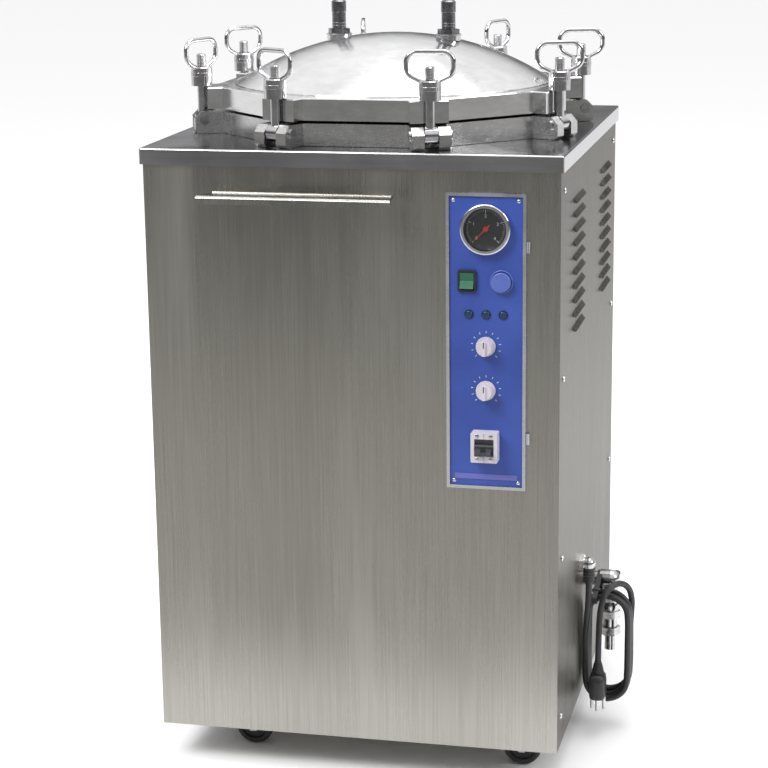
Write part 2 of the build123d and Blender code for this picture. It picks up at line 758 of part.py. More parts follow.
def make_panel():
    """Silver frame and blue plate, with the plate's holes for each control."""
    hinge_z = (GAUGE_Z - 21.0, BREAKER_Z + 10.0)
    with BuildPart() as frame:
        with BuildSketch(front_plane(PANEL_X, PANEL_Z, -HALF)):
            Rectangle(PANEL_W, PANEL_H)
            Rectangle(PANEL_W - 2 * FRAME_BAND, PANEL_H - 2 * FRAME_BAND, mode=Mode.SUBTRACT)
        extrude(amount=FRAME_PROUD)
        for z in hinge_z:
            foot = (PANEL_X + PANEL_W / 2 + HINGE_R, -HALF - HINGE_R - 0.1, z - HINGE_L / 2)
            with BuildSketch(Plane(origin=foot, z_dir=(0, 0, 1))):
                Circle(HINGE_R)
            extrude(amount=HINGE_L)
    save(frame, "panel_frame")

    with BuildPart() as plate:
        with BuildSketch(front_plane(PANEL_X, PANEL_Z, -HALF)):
            Rectangle(PANEL_W - 2 * FRAME_BAND - 0.4, PANEL_H - 2 * FRAME_BAND - 0.4)
        extrude(amount=PLATE_T)
        with BuildSketch(front_plane(0, 0, -HALF - PLATE_T - 1)):
            with Locations((PANEL_X, GAUGE_Z)):
                Circle(GAUGE_BODY_R + 0.5)
            with Locations((ROCKER_X, SWITCH_Z)):
                Rectangle(ROCKER_W + 2, ROCKER_H + 2)
            with Locations((BUTTON_X, SWITCH_Z)):
                Circle(BUTTON_GUIDE_R + 0.1)
            for column in (-1, 0, 1):
                with Locations((PANEL_X + column * LAMP_PITCH, LAMP_Z)):
                    Circle(LAMP_BODY_R + 0.1)
            for z in KNOB_Z:
                with Locations((PANEL_X, z)):
                    Circle(KNOB_SHAFT_R + 0.06)
            with Locations((PANEL_X, BREAKER_Z)):
                Rectangle(BREAKER_W - 6, BREAKER_H - 6)
        extrude(amount=-PLATE_T - 2, mode=Mode.SUBTRACT)
    save(plate, "panel_plate")


DIAL_Y = PLATE_FACE - 2.0
GLASS_Y = PLATE_FACE - 8.0
GLASS_R = GAUGE_R - 5.0
ARBOR_R = 1.5
NEEDLE_ZERO = 225.0


def make_gauge():
    """Pressure gauge: case with its bezel, the needle on its arbor, and the glass."""
    with BuildPart() as case:
        with BuildSketch(front_plane(PANEL_X, GAUGE_Z, PLATE_FACE)):
            Circle(GAUGE_R)
        extrude(amount=10)
        fillet(case.faces().sort_by(Axis.Y)[0].edges(), 2.5)
        with BuildSketch(front_plane(PANEL_X, GAUGE_Z, PLATE_FACE)):
            Circle(GAUGE_BODY_R)
        extrude(amount=-GAUGE_DEPTH)
        with BuildSketch(front_plane(PANEL_X, GAUGE_Z, DIAL_Y)):
            Circle(GLASS_R)
        extrude(amount=20, mode=Mode.SUBTRACT)
        with BuildSketch(front_plane(PANEL_X, GAUGE_Z, PLATE_FACE + 1)):
            Circle(ARBOR_R + 0.06)
        extrude(amount=10, mode=Mode.SUBTRACT)
        with BuildSketch(front_plane(PANEL_X, GAUGE_Z, PLATE_FACE + GAUGE_DEPTH)):
            Circle(8)
        extrude(amount=-14)
    save(case, "gauge_case")

    pointing = (cos(radians(NEEDLE_ZERO)), 0, sin(radians(NEEDLE_ZERO)))
    with BuildPart() as needle:
        with BuildSketch(front_plane(PANEL_X, GAUGE_Z, PLATE_FACE + 0.6)):
            Circle(ARBOR_R)
        extrude(amount=4.0)
        with BuildSketch(Plane(origin=(PANEL_X, DIAL_Y - 1.0, GAUGE_Z), x_dir=pointing, z_dir=(0, -1, 0))):
            Circle(3.2)
            with BuildLine():
                Polyline((-7, -1.2), (21, -0.4), (21, 0.4), (-7, 1.2), close=True)
            make_face()
        extrude(amount=1.0)
    save(needle, "gauge_needle")

    with BuildPart() as glass:
        with BuildSketch(front_plane(PANEL_X, GAUGE_Z, GLASS_Y + 2)):
            Circle(GLASS_R - 0.02)
        extrude(amount=1.8)
    save(glass, "gauge_glass")


ROCKER_TILT = -9.0
ROCKER_PIN_R = 2.0
ROCKER_PIN_PROUD = 0.2


def make_rocker():
    """Rocker switch: black surround with a pocket, and the green rocker that tips in it."""
    with BuildPart() as surround:
        with BuildSketch(front_plane(ROCKER_X, SWITCH_Z, PLATE_FACE)):
            RectangleRounded(ROCKER_W + 6, ROCKER_H + 6, 2)
        extrude(amount=4)
        with BuildSketch(front_plane(ROCKER_X, SWITCH_Z, PLATE_FACE)):
            Rectangle(ROCKER_W + 1.6, ROCKER_H + 1.6)
        extrude(amount=-22)
        with BuildSketch(front_plane(ROCKER_X, SWITCH_Z, PLATE_FACE - 5)):
            Rectangle(ROCKER_W + 0.6, ROCKER_H + 0.8)
        extrude(amount=-19, mode=Mode.SUBTRACT)
    save(surround, "rocker_surround")

    tilted_up = (0, -sin(radians(ROCKER_TILT)), cos(radians(ROCKER_TILT)))
    left = (ROCKER_X - ROCKER_W / 2, PLATE_FACE - 1, SWITCH_Z)
    side = Plane(origin=left, x_dir=tilted_up, z_dir=(1, 0, 0))
    crown = ROCKER_H / 2 - 0.6
    outline = [(-crown, 5.4), (0, 2.6), (crown, 5.4), (crown - 1.5, -3), (-crown + 1.5, -3)]
    with BuildPart() as rocker:
        with BuildSketch(side):
            with BuildLine():
                Polyline(*outline, close=True)
            make_face()
        extrude(amount=ROCKER_W)
        with BuildSketch(side):
            Circle(ROCKER_PIN_R)
        extrude(amount=-ROCKER_PIN_PROUD)
        with BuildSketch(side.offset(ROCKER_W)):
            Circle(ROCKER_PIN_R)
        extrude(amount=ROCKER_PIN_PROUD)
    save(rocker, "rocker_switch")


BUTTON_TRAVEL = 3.0
BUTTON_R = 12.0


def make_button():
    """Round push button with a guide sleeve's bore through the plate."""
    with BuildPart() as button:
        with BuildSketch(front_plane(BUTTON_X, SWITCH_Z, PLATE_FACE - BUTTON_TRAVEL - 0.6)):
            Circle(BUTTON_R)
        extrude(amount=4.5)
        fillet(button.faces().sort_by(Axis.Y)[0].edges(), 1.5)
        with BuildSketch(front_plane(BUTTON_X, SWITCH_Z, PLATE_FACE - BUTTON_TRAVEL - 0.6)):
            Circle(BUTTON_GUIDE_R)
        extrude(amount=-18)
    save(button, "push_button")


LENS_PROUD = 2.4


def make_lamps():
    """Three indicator lamps with domed lenses, as separate solids."""
    with BuildPart() as lamps:
        for column in (-1, 0, 1):
            x = PANEL_X + column * LAMP_PITCH
            with BuildSketch(front_plane(x, LAMP_Z, PLATE_FACE)):
                Circle(LAMP_BODY_R + 1.1)
            extrude(amount=LENS_PROUD)
            with BuildSketch(front_plane(x, LAMP_Z, PLATE_FACE)):
                Circle(LAMP_BODY_R)
            extrude(amount=-12)
        rounds = lamps.edges().filter_by(GeomType.CIRCLE)
        lens_rims = [e for e in rounds if abs(e.center().Y - PLATE_FACE + LENS_PROUD) < 0.01]
        fillet(lens_rims, 1.8)
    save(lamps, "indicator_lamps")


def make_knob(name, z):
    """Skirted knob with a raised pointer bar, on its own shaft."""
    with BuildPart() as knob:
        with BuildSketch(front_plane(PANEL_X, z, PLATE_FACE - 1)):
            Circle(KNOB_R)
        extrude(amount=3)
        with BuildSketch(front_plane(PANEL_X, z, PLATE_FACE - 4)):
            Circle(KNOB_R - 2)
        extrude(amount=12, taper=5)
        with BuildSketch(front_plane(PANEL_X, z, PLATE_FACE - 15)):
            Rectangle(4, 2 * KNOB_R - 6)
        extrude(amount=3.5)
        with BuildSketch(front_plane(PANEL_X, z, PLATE_FACE - 2)):
            Circle(KNOB_SHAFT_R)
        extrude(amount=-18)
    save(knob, name)


TOGGLE_W = BREAKER_POCKET_W - 1.0
TOGGLE_REST = -32.0
TOGGLE_PIVOT_Y = PLATE_FACE - 12.0


def make_breaker():
    """Two-pole circuit breaker and its linked pair of toggles."""
    with BuildPart() as body:
        with BuildSketch(front_plane(PANEL_X, BREAKER_Z, PLATE_FACE)):
            RectangleRounded(BREAKER_W, BREAKER_H, 1.5)
        extrude(amount=16)
        with BuildSketch(front_plane(PANEL_X, BREAKER_Z, PLATE_FACE)):
            Rectangle(BREAKER_W - 7, BREAKER_H - 7)
        extrude(amount=-30)
        with BuildSketch(front_plane(PANEL_X, BREAKER_Z, PLATE_FACE - 17)):
            Rectangle(BREAKER_POCKET_W, BREAKER_POCKET_H)
        extrude(amount=-14, mode=Mode.SUBTRACT)
    save(body, "breaker_body")

    with BuildPart() as toggle:
        with BuildSketch(Plane(origin=(PANEL_X - TOGGLE_W / 2, TOGGLE_PIVOT_Y, BREAKER_Z), z_dir=(1, 0, 0))):
            Circle(5)
        extrude(amount=TOGGLE_W)
        reach = Plane(
            origin=(0, TOGGLE_PIVOT_Y, BREAKER_Z),
            x_dir=(1, 0, 0),
            z_dir=(0, -cos(radians(TOGGLE_REST)), sin(radians(TOGGLE_REST))),
        )
        with BuildSketch(reach):
            for x in (PANEL_X - 6.5, PANEL_X + 6.5):
                with Locations((x, 0)):
                    Rectangle(7, 5)
        extrude(amount=14, taper=3)
        with BuildSketch(reach.offset(10)):
            with Locations((PANEL_X, 0)):
                Rectangle(10, 3)
        extrude(amount=3)
    save(toggle, "breaker_toggle")


# ---- drain valve ------------------------------------------------------------------------------------------


def make_drain():
    """Drain pipe from the skirt through the right sheet, elbow, plug valve, hose tail, and the lever."""
    with BuildPart() as drain:
        with BuildSketch(Plane(origin=(SKIRT_R + 2, DRAIN_Y, DRAIN_Z), z_dir=(1, 0, 0))):
            Circle(PIPE_R)
        extrude(amount=DRAIN_X - SKIRT_R - 2)
        with Locations((DRAIN_X, DRAIN_Y, DRAIN_Z)):
            Sphere(PIPE_R + 3)
        with BuildSketch(Plane(origin=(DRAIN_X - 14, DRAIN_Y, DRAIN_Z), z_dir=(1, 0, 0))):
            Circle(PIPE_R + 3)
        extrude(amount=14)
        with BuildSketch(Plane.XY.offset(TAIL_END_Z + TAIL_LENGTH)):
            with Locations((DRAIN_X, DRAIN_Y)):
                Circle(PIPE_R)
        extrude(amount=DRAIN_Z - TAIL_END_Z - TAIL_LENGTH)
        for low, high in ((TAIL_END_Z + TAIL_LENGTH, 125), (138, 148), (162, 172)):
            with BuildSketch(Plane.XY.offset(low)):
                with Locations((DRAIN_X, DRAIN_Y)):
                    RegularPolygon(14.5, 6)
            extrude(amount=high - low)
        with Locations((DRAIN_X, DRAIN_Y, DRAIN_STEM_Z + 1)):
            Sphere(13.5)
        with BuildSketch(Plane(origin=(DRAIN_X, DRAIN_Y, DRAIN_STEM_Z), z_dir=(0, 1, 0))):
            Circle(6.5)
        extrude(amount=18)
        with BuildSketch(Plane.XY.offset(TAIL_END_Z)):
            with Locations((DRAIN_X, DRAIN_Y)):
                Circle(TAIL_R)
        extrude(amount=TAIL_LENGTH)
        with BuildSketch(Plane.XY.offset(TAIL_END_Z)):
            with Locations((DRAIN_X, DRAIN_Y)):
                Circle(5)
        extrude(amount=DRAIN_Z - TAIL_END_Z - 20, mode=Mode.SUBTRACT)
        with BuildSketch(Plane(origin=(DRAIN_X, DRAIN_Y + 8, DRAIN_STEM_Z), z_dir=(0, 1, 0))):
            Circle(3.06)
        extrude(amount=20, mode=Mode.SUBTRACT)
    save(drain, "drain_valve")

    tilt = 8.0
    flat = Plane(
        origin=(DRAIN_X, DRAIN_Y + 19, DRAIN_STEM_Z),
        x_dir=(cos(radians(tilt)), 0, -sin(radians(tilt))),
        z_dir=(0, 1, 0),
    )
    up = 1 if flat.y_dir.Z > 0 else -1
    with BuildPart() as lever:
        with BuildSketch(flat):
            Circle(8)
            with Locations((0, up * 12)):
                Rectangle(9, 24)
        extrude(amount=3)
        with BuildSketch(Plane(origin=flat.from_local_coords((0, up * 22, 1.5)), z_dir=flat.y_dir * up)):
            Circle(5)
        extrude(amount=22)
        fillet(lever.faces().sort_by(Axis.Z)[-1].edges(), 3)
        with BuildSketch(Plane(origin=(DRAIN_X, DRAIN_Y + 9, DRAIN_STEM_Z), z_dir=(0, 1, 0))):
            Circle(3)
        extrude(amount=17)
    save(lever, "drain_lever")


# ---- power cord -------------------------------------------------------------------------------------------

LEAD_ROUTE = [
    (CORD_X, GLAND_Y, GLAND_MOUTH_Z),
    (CORD_X, GLAND_Y + 0.5, GLAND_MOUTH_Z - 26),
    (CORD_X - 2.5, GLAND_Y + 3.0, GLAND_MOUTH_Z - 54),
    (CORD_X - 5.0, GLAND_Y + 9.0, GLAND_MOUTH_Z - 82),
    (CORD_X - 5.5, GLAND_Y + 16.0, GLAND_MOUTH_Z - 108),
]
TAIL_ROUTE = [
    (322.5, -12.4, 138.0),
    (323.5, -12.0, 156.0),
    (324.4, -11.5, 174.0),
    (320.8, -16.0, 191.5),
    (311.7, -27.7, 202.3),
    (300.3, -42.3, 202.3),
    (291.2, -54.0, 191.5),
    (287.6, -58.5, 174.0),
    (286.5, -61.5, 156.0),
    (286.3, -63.5, 138.0),
    (286.1, -65.0, 120.0),
    (PLUG_X, PLUG_Y, PLUG_ENTRY_Z),
]


def corner_radii(route):
    """Each corner's arc radius: 0.45 of its shorter run over the tangent of half its turn."""
    found = []
    for before, here, after in zip(route, route[1:], route[2:]):
        into = Vector(*here) - Vector(*before)
        onward = Vector(*after) - Vector(*here)
        turn = into.get_angle(onward)
        found.append(0.45 * min(into.length, onward.length) / tan(radians(turn / 2)))
    return found


def make_cord_run(route, name):
    """A plain round cord along a route of straight runs and tangent arcs."""
    radii = corner_radii(route)
    print(name, "corner radii in diameters", [round(r / CORD_D, 1) for r in radii])
    with BuildPart() as run:
        with BuildLine() as path:
            FilletPolyline(*route, radius=radii)
        wire = path.wires()[0]
        with BuildSketch(Plane(origin=wire @ 0, z_dir=wire % 0)):
            Circle(CORD_D / 2)
        sweep(path=wire)
    print(name, "volume over section times length", run.part.volume / (pi * CORD_D**2 / 4 * wire.length))
    save(run, name)


def make_cord():
    """Elbow gland on the right sheet, the cord's free runs, its hank and its plug."""
    with BuildPart() as gland:
        with BuildSketch(Plane(origin=(HALF, GLAND_Y, GLAND_Z), z_dir=(1, 0, 0))):
            RegularPolygon(13, 6)
        extrude(amount=6)
        with BuildSketch(Plane(origin=(HALF - 14, GLAND_Y, GLAND_Z), z_dir=(1, 0, 0))):
            Circle(8)
        extrude(amount=14 + CORD_X - HALF)
        with Locations((CORD_X, GLAND_Y, GLAND_Z)):
            Sphere(8.5)
        with BuildSketch(Plane.XY.offset(GLAND_MOUTH_Z)) as mouth:
            with Locations((CORD_X, GLAND_Y)):
                Circle(5.6)
        with BuildSketch(Plane.XY.offset(GLAND_Z)) as throat:
            with Locations((CORD_X, GLAND_Y)):
                Circle(8)
        loft()
    save(gland, "cord_gland")

    make_cord_run(LEAD_ROUTE, "power_cord_lead")
    make_cord_run(TAIL_ROUTE, "power_cord_tail")

    hank_w = 2 * HANK_FOLD_R
    hank_h = HANK_TOP_Z - HANK_BOTTOM_Z - CORD_D
    middle = (HANK_TOP_Z + HANK_BOTTOM_Z) / 2
    with BuildPart() as hank:
        with BuildSketch(front_plane(HANK_X, middle, HANK_FRONT_Y + HANK_DEPTH)):
            SlotOverall(hank_h + CORD_D, hank_w + CORD_D, rotation=90)
            SlotOverall(hank_h - CORD_D, hank_w - CORD_D, rotation=90, mode=Mode.SUBTRACT)
        extrude(amount=HANK_DEPTH)
    save(hank, "power_cord_hank")

    with BuildPart() as plug:
        with BuildSketch(Plane.XY.offset(PLUG_ENTRY_Z)):
            with Locations((PLUG_X, PLUG_Y)):
                Circle(5.2)
        with BuildSketch(Plane.XY.offset(PLUG_TOP_Z)):
            with Locations((PLUG_X, PLUG_Y)):
                Circle(8)
        loft()
        with BuildSketch(Plane.XY.offset(PLUG_TOP_Z)):
            with Locations((PLUG_X, PLUG_Y)):
                RectangleRounded(34, 23, 8)
        extrude(amount=-34)
        for x, y in ((-8, 4), (8, 4), (0, -5)):
            with BuildSketch(Plane.XY.offset(PLUG_TOP_Z - 34)):
                with Locations((PLUG_X + x, PLUG_Y + y)):
                    Circle(2.4)
            extrude(amount=-18)
    save(plug, "power_plug")


# ---- build everything -------------------------------------------------------------------------------------

make_base()
make_front()
make_sides()
make_rear()
make_cover()
make_screws()
make_vessel()
make_pins()
make_gasket()
make_heater()
make_basket()
make_lid()
make_fittings()
for index, clamp_angle in enumerate(CLAMP_ANGLES):
    make_swing_bolt(index + 1, clamp_angle)
    make_ring_nut(index + 1, clamp_angle)
for caster_name, (caster_x, caster_y) in CASTER_PLACES.items():
    make_caster(caster_name, caster_x, caster_y)
make_panel()
make_gauge()
make_rocker()
make_button()
make_lamps()
make_knob("temperature_knob", KNOB_Z[0])
make_knob("timer_knob", KNOB_Z[1])
make_breaker()
make_drain()
make_cord()
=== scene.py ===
"""Looks of the vertical steam steriliser: materials for every CAD node and the detailed pieces around them.

Metres, in the CAD's own frame: the origin is on the floor under the vessel's axis, -Y is the front.
"""

import json
from math import cos, pi, radians, sin

import bmesh
import bpy
from mathutils import Matrix, Vector


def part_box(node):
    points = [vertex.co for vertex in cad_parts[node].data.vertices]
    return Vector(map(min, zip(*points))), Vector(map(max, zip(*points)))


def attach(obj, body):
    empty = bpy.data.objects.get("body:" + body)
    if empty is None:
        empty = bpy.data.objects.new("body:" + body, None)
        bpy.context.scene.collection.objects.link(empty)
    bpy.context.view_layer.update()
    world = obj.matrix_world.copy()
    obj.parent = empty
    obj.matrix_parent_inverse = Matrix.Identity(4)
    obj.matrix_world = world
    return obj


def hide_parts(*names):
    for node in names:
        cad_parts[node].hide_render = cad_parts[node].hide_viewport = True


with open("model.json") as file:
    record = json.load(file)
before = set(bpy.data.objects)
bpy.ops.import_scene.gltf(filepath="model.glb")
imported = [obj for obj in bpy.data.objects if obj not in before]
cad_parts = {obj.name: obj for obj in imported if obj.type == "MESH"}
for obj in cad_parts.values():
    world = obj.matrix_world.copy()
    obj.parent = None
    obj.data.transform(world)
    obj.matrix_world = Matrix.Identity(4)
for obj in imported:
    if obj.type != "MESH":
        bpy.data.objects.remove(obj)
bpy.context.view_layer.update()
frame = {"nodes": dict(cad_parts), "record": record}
scene = bpy.context.scene


def middle(node):
    """Centre of a node's box."""
    low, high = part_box(node)
    return (low + high) / 2


UP = (0, 0, 1)
FRONT = (0, -1, 0)
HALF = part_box("rear_panel")[1].y
TOP_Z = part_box("top_cover")[1].z
PLATE_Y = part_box("panel_plate")[0].y
PANEL_X = middle("panel_plate").x
KNOBS = ("temperature_knob", "timer_knob")


# ---- camera and studio ------------------------------------------------------------------------------------

CAMERA_AT = Vector((0.6305, -2.793, 1.159))
CAMERA_YAW = 13.08
CAMERA_PITCH = 13.79
CAMERA_ROLL = -0.68
CAMERA_LENS = 101.95
SENSOR_WIDTH = 36.0

REAR_WALL_LIFT = 0.08
WALL_TONES = (
    (0.0, (0.13, 0.13, 0.125)),
    (0.22, (0.17, 0.17, 0.17)),
    (0.42, (0.85, 0.85, 0.86)),
    (0.62, (1.12, 1.12, 1.13)),
)

FLOOR_REACH = 80.0
SHADE_FROM_Y = -4.6
SHADE_TO_Y = -0.35
# Paper tones from far in front to near the machine: the dark and grey stops are painted shade for the dim
# room in front, the last is the pale paper.
PAPER_AND_SHADE_TONES = (
    (0.0, (0.18, 0.18, 0.175)),
    (0.4, (0.25, 0.24625, 0.235)),
    (0.62, (0.36, 0.3546, 0.3384)),
    (0.88, (0.36, 0.3546, 0.3384)),
    (1.0, (0.97, 0.97, 0.97)),
)


def fill_ramp(node, stops):
    """Gives a colour ramp node its stops, each a position and a colour."""
    elements = node.color_ramp.elements
    for element, (position, colour) in zip(elements, (stops[0], stops[-1])):
        element.position = position
        element.color = (*colour, 1)
    for position, colour in stops[1:-1]:
        elements.new(position).color = (*colour, 1)


def make_camera():
    """Camera from its place, its yaw to the left, its pitch down and its roll."""
    yaw, pitch, roll = radians(CAMERA_YAW), radians(CAMERA_PITCH), radians(CAMERA_ROLL)
    forward = Vector((-sin(yaw) * cos(pitch), cos(yaw) * cos(pitch), -sin(pitch)))
    right = forward.cross(Vector(UP)).normalized()
    up = right.cross(forward)
    rolled_right = right * cos(roll) + up * sin(roll)
    rolled_up = up * cos(roll) - right * sin(roll)
    turn = Matrix((rolled_right, rolled_up, -forward)).transposed().to_4x4()
    data = bpy.data.cameras.new("camera")
    data.lens = CAMERA_LENS
    data.sensor_width = SENSOR_WIDTH
    data.clip_start = 0.05
    camera = bpy.data.objects.new("camera", data)
    camera.matrix_world = Matrix.Translation(CAMERA_AT) @ turn
    scene.collection.objects.link(camera)
    scene.camera = camera


def make_world():
    """Studio surroundings: a bright ceiling, and walls that darken towards the horizon, more so in front."""
    world = bpy.data.worlds.new("studio")
    scene.world = world
    world.use_nodes = True
    tree = world.node_tree
    tree.nodes.clear()
    out = tree.nodes.new("ShaderNodeOutputWorld")
    back = tree.nodes.new("ShaderNodeBackground")
    coords = tree.nodes.new("ShaderNodeTexCoord")
    height = tree.nodes.new("ShaderNodeVectorMath")
    height.operation = "DOT_PRODUCT"
    height.inputs[1].default_value = (0, REAR_WALL_LIFT, 1)
    ramp = tree.nodes.new("ShaderNodeValToRGB")
    fill_ramp(ramp, WALL_TONES)
    tree.links.new(coords.outputs["Generated"], height.inputs[0])
    tree.links.new(height.outputs["Value"], ramp.inputs[0])
    tree.links.new(ramp.outputs[0], back.inputs["Color"])
    tree.links.new(back.outputs[0], out.inputs["Surface"])


def make_light(name, place, target, size, power):
    """A square soft light at place, aimed at target."""
    data = bpy.data.lights.new(name, "AREA")
    data.size = size
    data.energy = power
    light = bpy.data.objects.new(name, data)
    light.location = place
    light.rotation_euler = (Vector(target) - Vector(place)).to_track_quat("-Z", "Y").to_euler()
    scene.collection.objects.link(light)


def make_stage():
    """Pale paper floor with painted shade: its colour darkens to grey well out in front, standing in for the
    dim room there that the steel reflects.
    """
    reach = FLOOR_REACH
    mesh = bpy.data.meshes.new("floor")
    mesh.from_pydata(
        [(-reach, -reach, 0), (reach, -reach, 0), (reach, reach, 0), (-reach, reach, 0)], [], [(0, 1, 2, 3)]
    )
    floor = bpy.data.objects.new("floor", mesh)
    scene.collection.objects.link(floor)
    paper = bpy.data.materials.new("paper_with_painted_shade")
    paper.use_nodes = True
    tree = paper.node_tree
    shader = tree.nodes["Principled BSDF"]
    shader.inputs["Roughness"].default_value = 0.9
    coords = tree.nodes.new("ShaderNodeTexCoord")
    split = tree.nodes.new("ShaderNodeSeparateXYZ")
    away = tree.nodes.new("ShaderNodeMapRange")
    away.inputs["From Min"].default_value = SHADE_FROM_Y
    away.inputs["From Max"].default_value = SHADE_TO_Y
    # This ramp paints the shade onto the paper in front of the machine.
    ramp = tree.nodes.new("ShaderNodeValToRGB")
    ramp.color_ramp.interpolation = "EASE"
    fill_ramp(ramp, PAPER_AND_SHADE_TONES)
    tree.links.new(coords.outputs["Object"], split.inputs[0])
    tree.links.new(split.outputs["Y"], away.inputs["Value"])
    tree.links.new(away.outputs["Result"], ramp.inputs[0])
    tree.links.new(ramp.outputs[0], shader.inputs["Base Color"])
    mesh.materials.append(paper)


scene.view_settings.view_transform = "Standard"
make_camera()
make_world()
make_stage()
make_light("key", (-1.7, -2.4, 3.3), (0, 0, 0.6), 1.6, 105)
make_light("overhead", (0.3, 0.5, 3.6), (0, 0, 0.9), 2.2, 60)
make_light("side_fill", (3.2, -0.6, 2.4), (0.2, 0, 0.5), 1.4, 40)


# ---- materials --------------------------------------------------------------------------------------------


def per_axis(value):
    """A value for each of the three axes, from three or from one that they share."""
    return (value,) * 3 if isinstance(value, (int, float)) else value


class Shader:
    """A Principled material under construction, with short names for the nodes that it needs."""

    def __init__(self, name, rough, metallic=0.0):
        self.mat = bpy.data.materials.new(name)
        self.mat.use_nodes = True
        self.tree = self.mat.node_tree
        self.bsdf = self.tree.nodes["Principled BSDF"]
        self.bsdf.inputs["Roughness"].default_value = rough
        self.bsdf.inputs["Metallic"].default_value = metallic
        self.coords = self.tree.nodes.new("ShaderNodeTexCoord").outputs["Object"]

    def link(self, a, b):
        self.tree.links.new(a, b)

    def noise(self, stretch, detail, roughness, distortion=0.0):
        """Noise that repeats about this many times a metre along each axis."""
        mapping = self.tree.nodes.new("ShaderNodeMapping")
        mapping.inputs["Scale"].default_value = per_axis(stretch)
        self.link(self.coords, mapping.inputs["Vector"])
        node = self.tree.nodes.new("ShaderNodeTexNoise")
        node.inputs["Scale"].default_value = 1.0
        node.inputs["Detail"].default_value = detail
        node.inputs["Roughness"].default_value = roughness
        node.inputs["Distortion"].default_value = distortion
        self.link(mapping.outputs[0], node.inputs["Vector"])
        return node.outputs["Fac"]

    def ramp(self, value, *stops):
        """A colour ramp over value; each stop is a position and a colour or a grey."""
        node = self.tree.nodes.new("ShaderNodeValToRGB")
        fill_ramp(node, [(position, per_axis(colour)) for position, colour in stops])
        self.link(value, node.inputs["Fac"])
        return node.outputs["Color"]

    def math(self, operation, a, b):
        """Result of an operation on two outputs or numbers."""
        node = self.tree.nodes.new("ShaderNodeMath")
        node.operation = operation
        for socket, value in ((node.inputs[0], a), (node.inputs[1], b)):
            if isinstance(value, bpy.types.NodeSocket):
                self.link(value, socket)
            else:
                socket.default_value = value
        return node.outputs[0]

    def colour(self, output):
        self.link(output, self.bsdf.inputs["Base Color"])

    def roughness(self, output):
        self.link(output, self.bsdf.inputs["Roughness"])

    def bump(self, height, strength, distance):
        node = self.tree.nodes.new("ShaderNodeBump")
        node.inputs["Strength"].default_value = strength
        node.inputs["Distance"].default_value = distance
        self.link(height, node.inputs["Height"])
        self.link(node.outputs["Normal"], self.bsdf.inputs["Normal"])


def steel(name, light, dark, rough, grain, blotch=3, relief=0.00004, spread=0.1, edge=1.0):
    """Stainless steel with a grain of fine lines and broad smudges. edge is its tint at a grazing angle."""
    s = Shader(name, rough, 1.0)
    lines = s.noise(grain, 3.0, 0.6)
    fine = s.noise([g * 2.7 for g in per_axis(grain)], 2.0, 0.5)
    smudge = s.noise(blotch, 5.0, 0.6, 0.6)
    tone = s.math("ADD", s.math("MULTIPLY", lines, 0.45), s.math("MULTIPLY", smudge, 0.55))
    s.colour(s.ramp(tone, (0.34, dark), (0.66, light)))
    gloss = s.math("ADD", s.math("MULTIPLY", smudge, 0.7), s.math("MULTIPLY", fine, 0.3))
    s.roughness(s.ramp(gloss, (0.34, rough - spread), (0.66, rough + spread)))
    s.bump(s.math("ADD", lines, fine), 0.25, relief)
    s.bsdf.inputs["Specular Tint"].default_value = (*per_axis(edge), 1)
    return s.mat


def plastic(name, colour, rough, variation=0.06, grain=900.0, relief=0.00002):
    """Moulded plastic or rubber with a fine texture and slight unevenness of colour and gloss."""
    s = Shader(name, rough)
    broad = s.noise(18, 4.0, 0.6)
    fine = s.noise(grain, 2.0, 0.5)
    low = tuple(c * (1 - variation) for c in colour)
    high = tuple(min(1.0, c * (1 + variation) + variation * 0.03) for c in colour)
    s.colour(s.ramp(broad, (0.35, low), (0.65, high)))
    s.roughness(s.ramp(broad, (0.3, max(0.02, rough - 0.06)), (0.7, rough + 0.08)))
    s.bump(fine, 0.3, relief)
    return s.mat


def painted(name, colour, rough):
    """Sprayed enamel on sheet: a faint orange peel and slight fading in patches."""
    s = Shader(name, rough)
    patch = s.noise(7, 4.0, 0.6)
    peel = s.noise(420, 2.0, 0.5)
    faded = tuple(c * 1.12 + 0.01 for c in colour)
    deep = tuple(c * 0.88 for c in colour)
    s.colour(s.ramp(patch, (0.34, deep), (0.66, faded)))
    s.roughness(s.ramp(patch, (0.3, rough - 0.07), (0.7, rough + 0.09)))
    s.bump(peel, 0.2, 0.00003)
    s.bsdf.inputs["Coat Weight"].default_value = 0.25
    s.bsdf.inputs["Coat Roughness"].default_value = 0.12
    return s.mat


def glass(name):
    """Clear gauge glass with a trace of smudging."""
    s = Shader(name, 0.03)
    smudge = s.noise(60, 4.0, 0.6)
    s.bsdf.inputs["Base Color"].default_value = (0.97, 0.98, 0.99, 1)
    s.bsdf.inputs["Transmission Weight"].default_value = 1.0
    s.bsdf.inputs["IOR"].default_value = 1.35
    s.roughness(s.ramp(smudge, (0.45, 0.015), (0.75, 0.06)))
    return s.mat


# Grains, as lines to the metre along each axis: brushed up and down, brushed along X, and turned or cast.
BRUSHED = (480, 480, 6)
BRUSHED_ACROSS = (6, 480, 480)
BRUSHED_FRAME = (620, 620, 5)
EVEN = 260

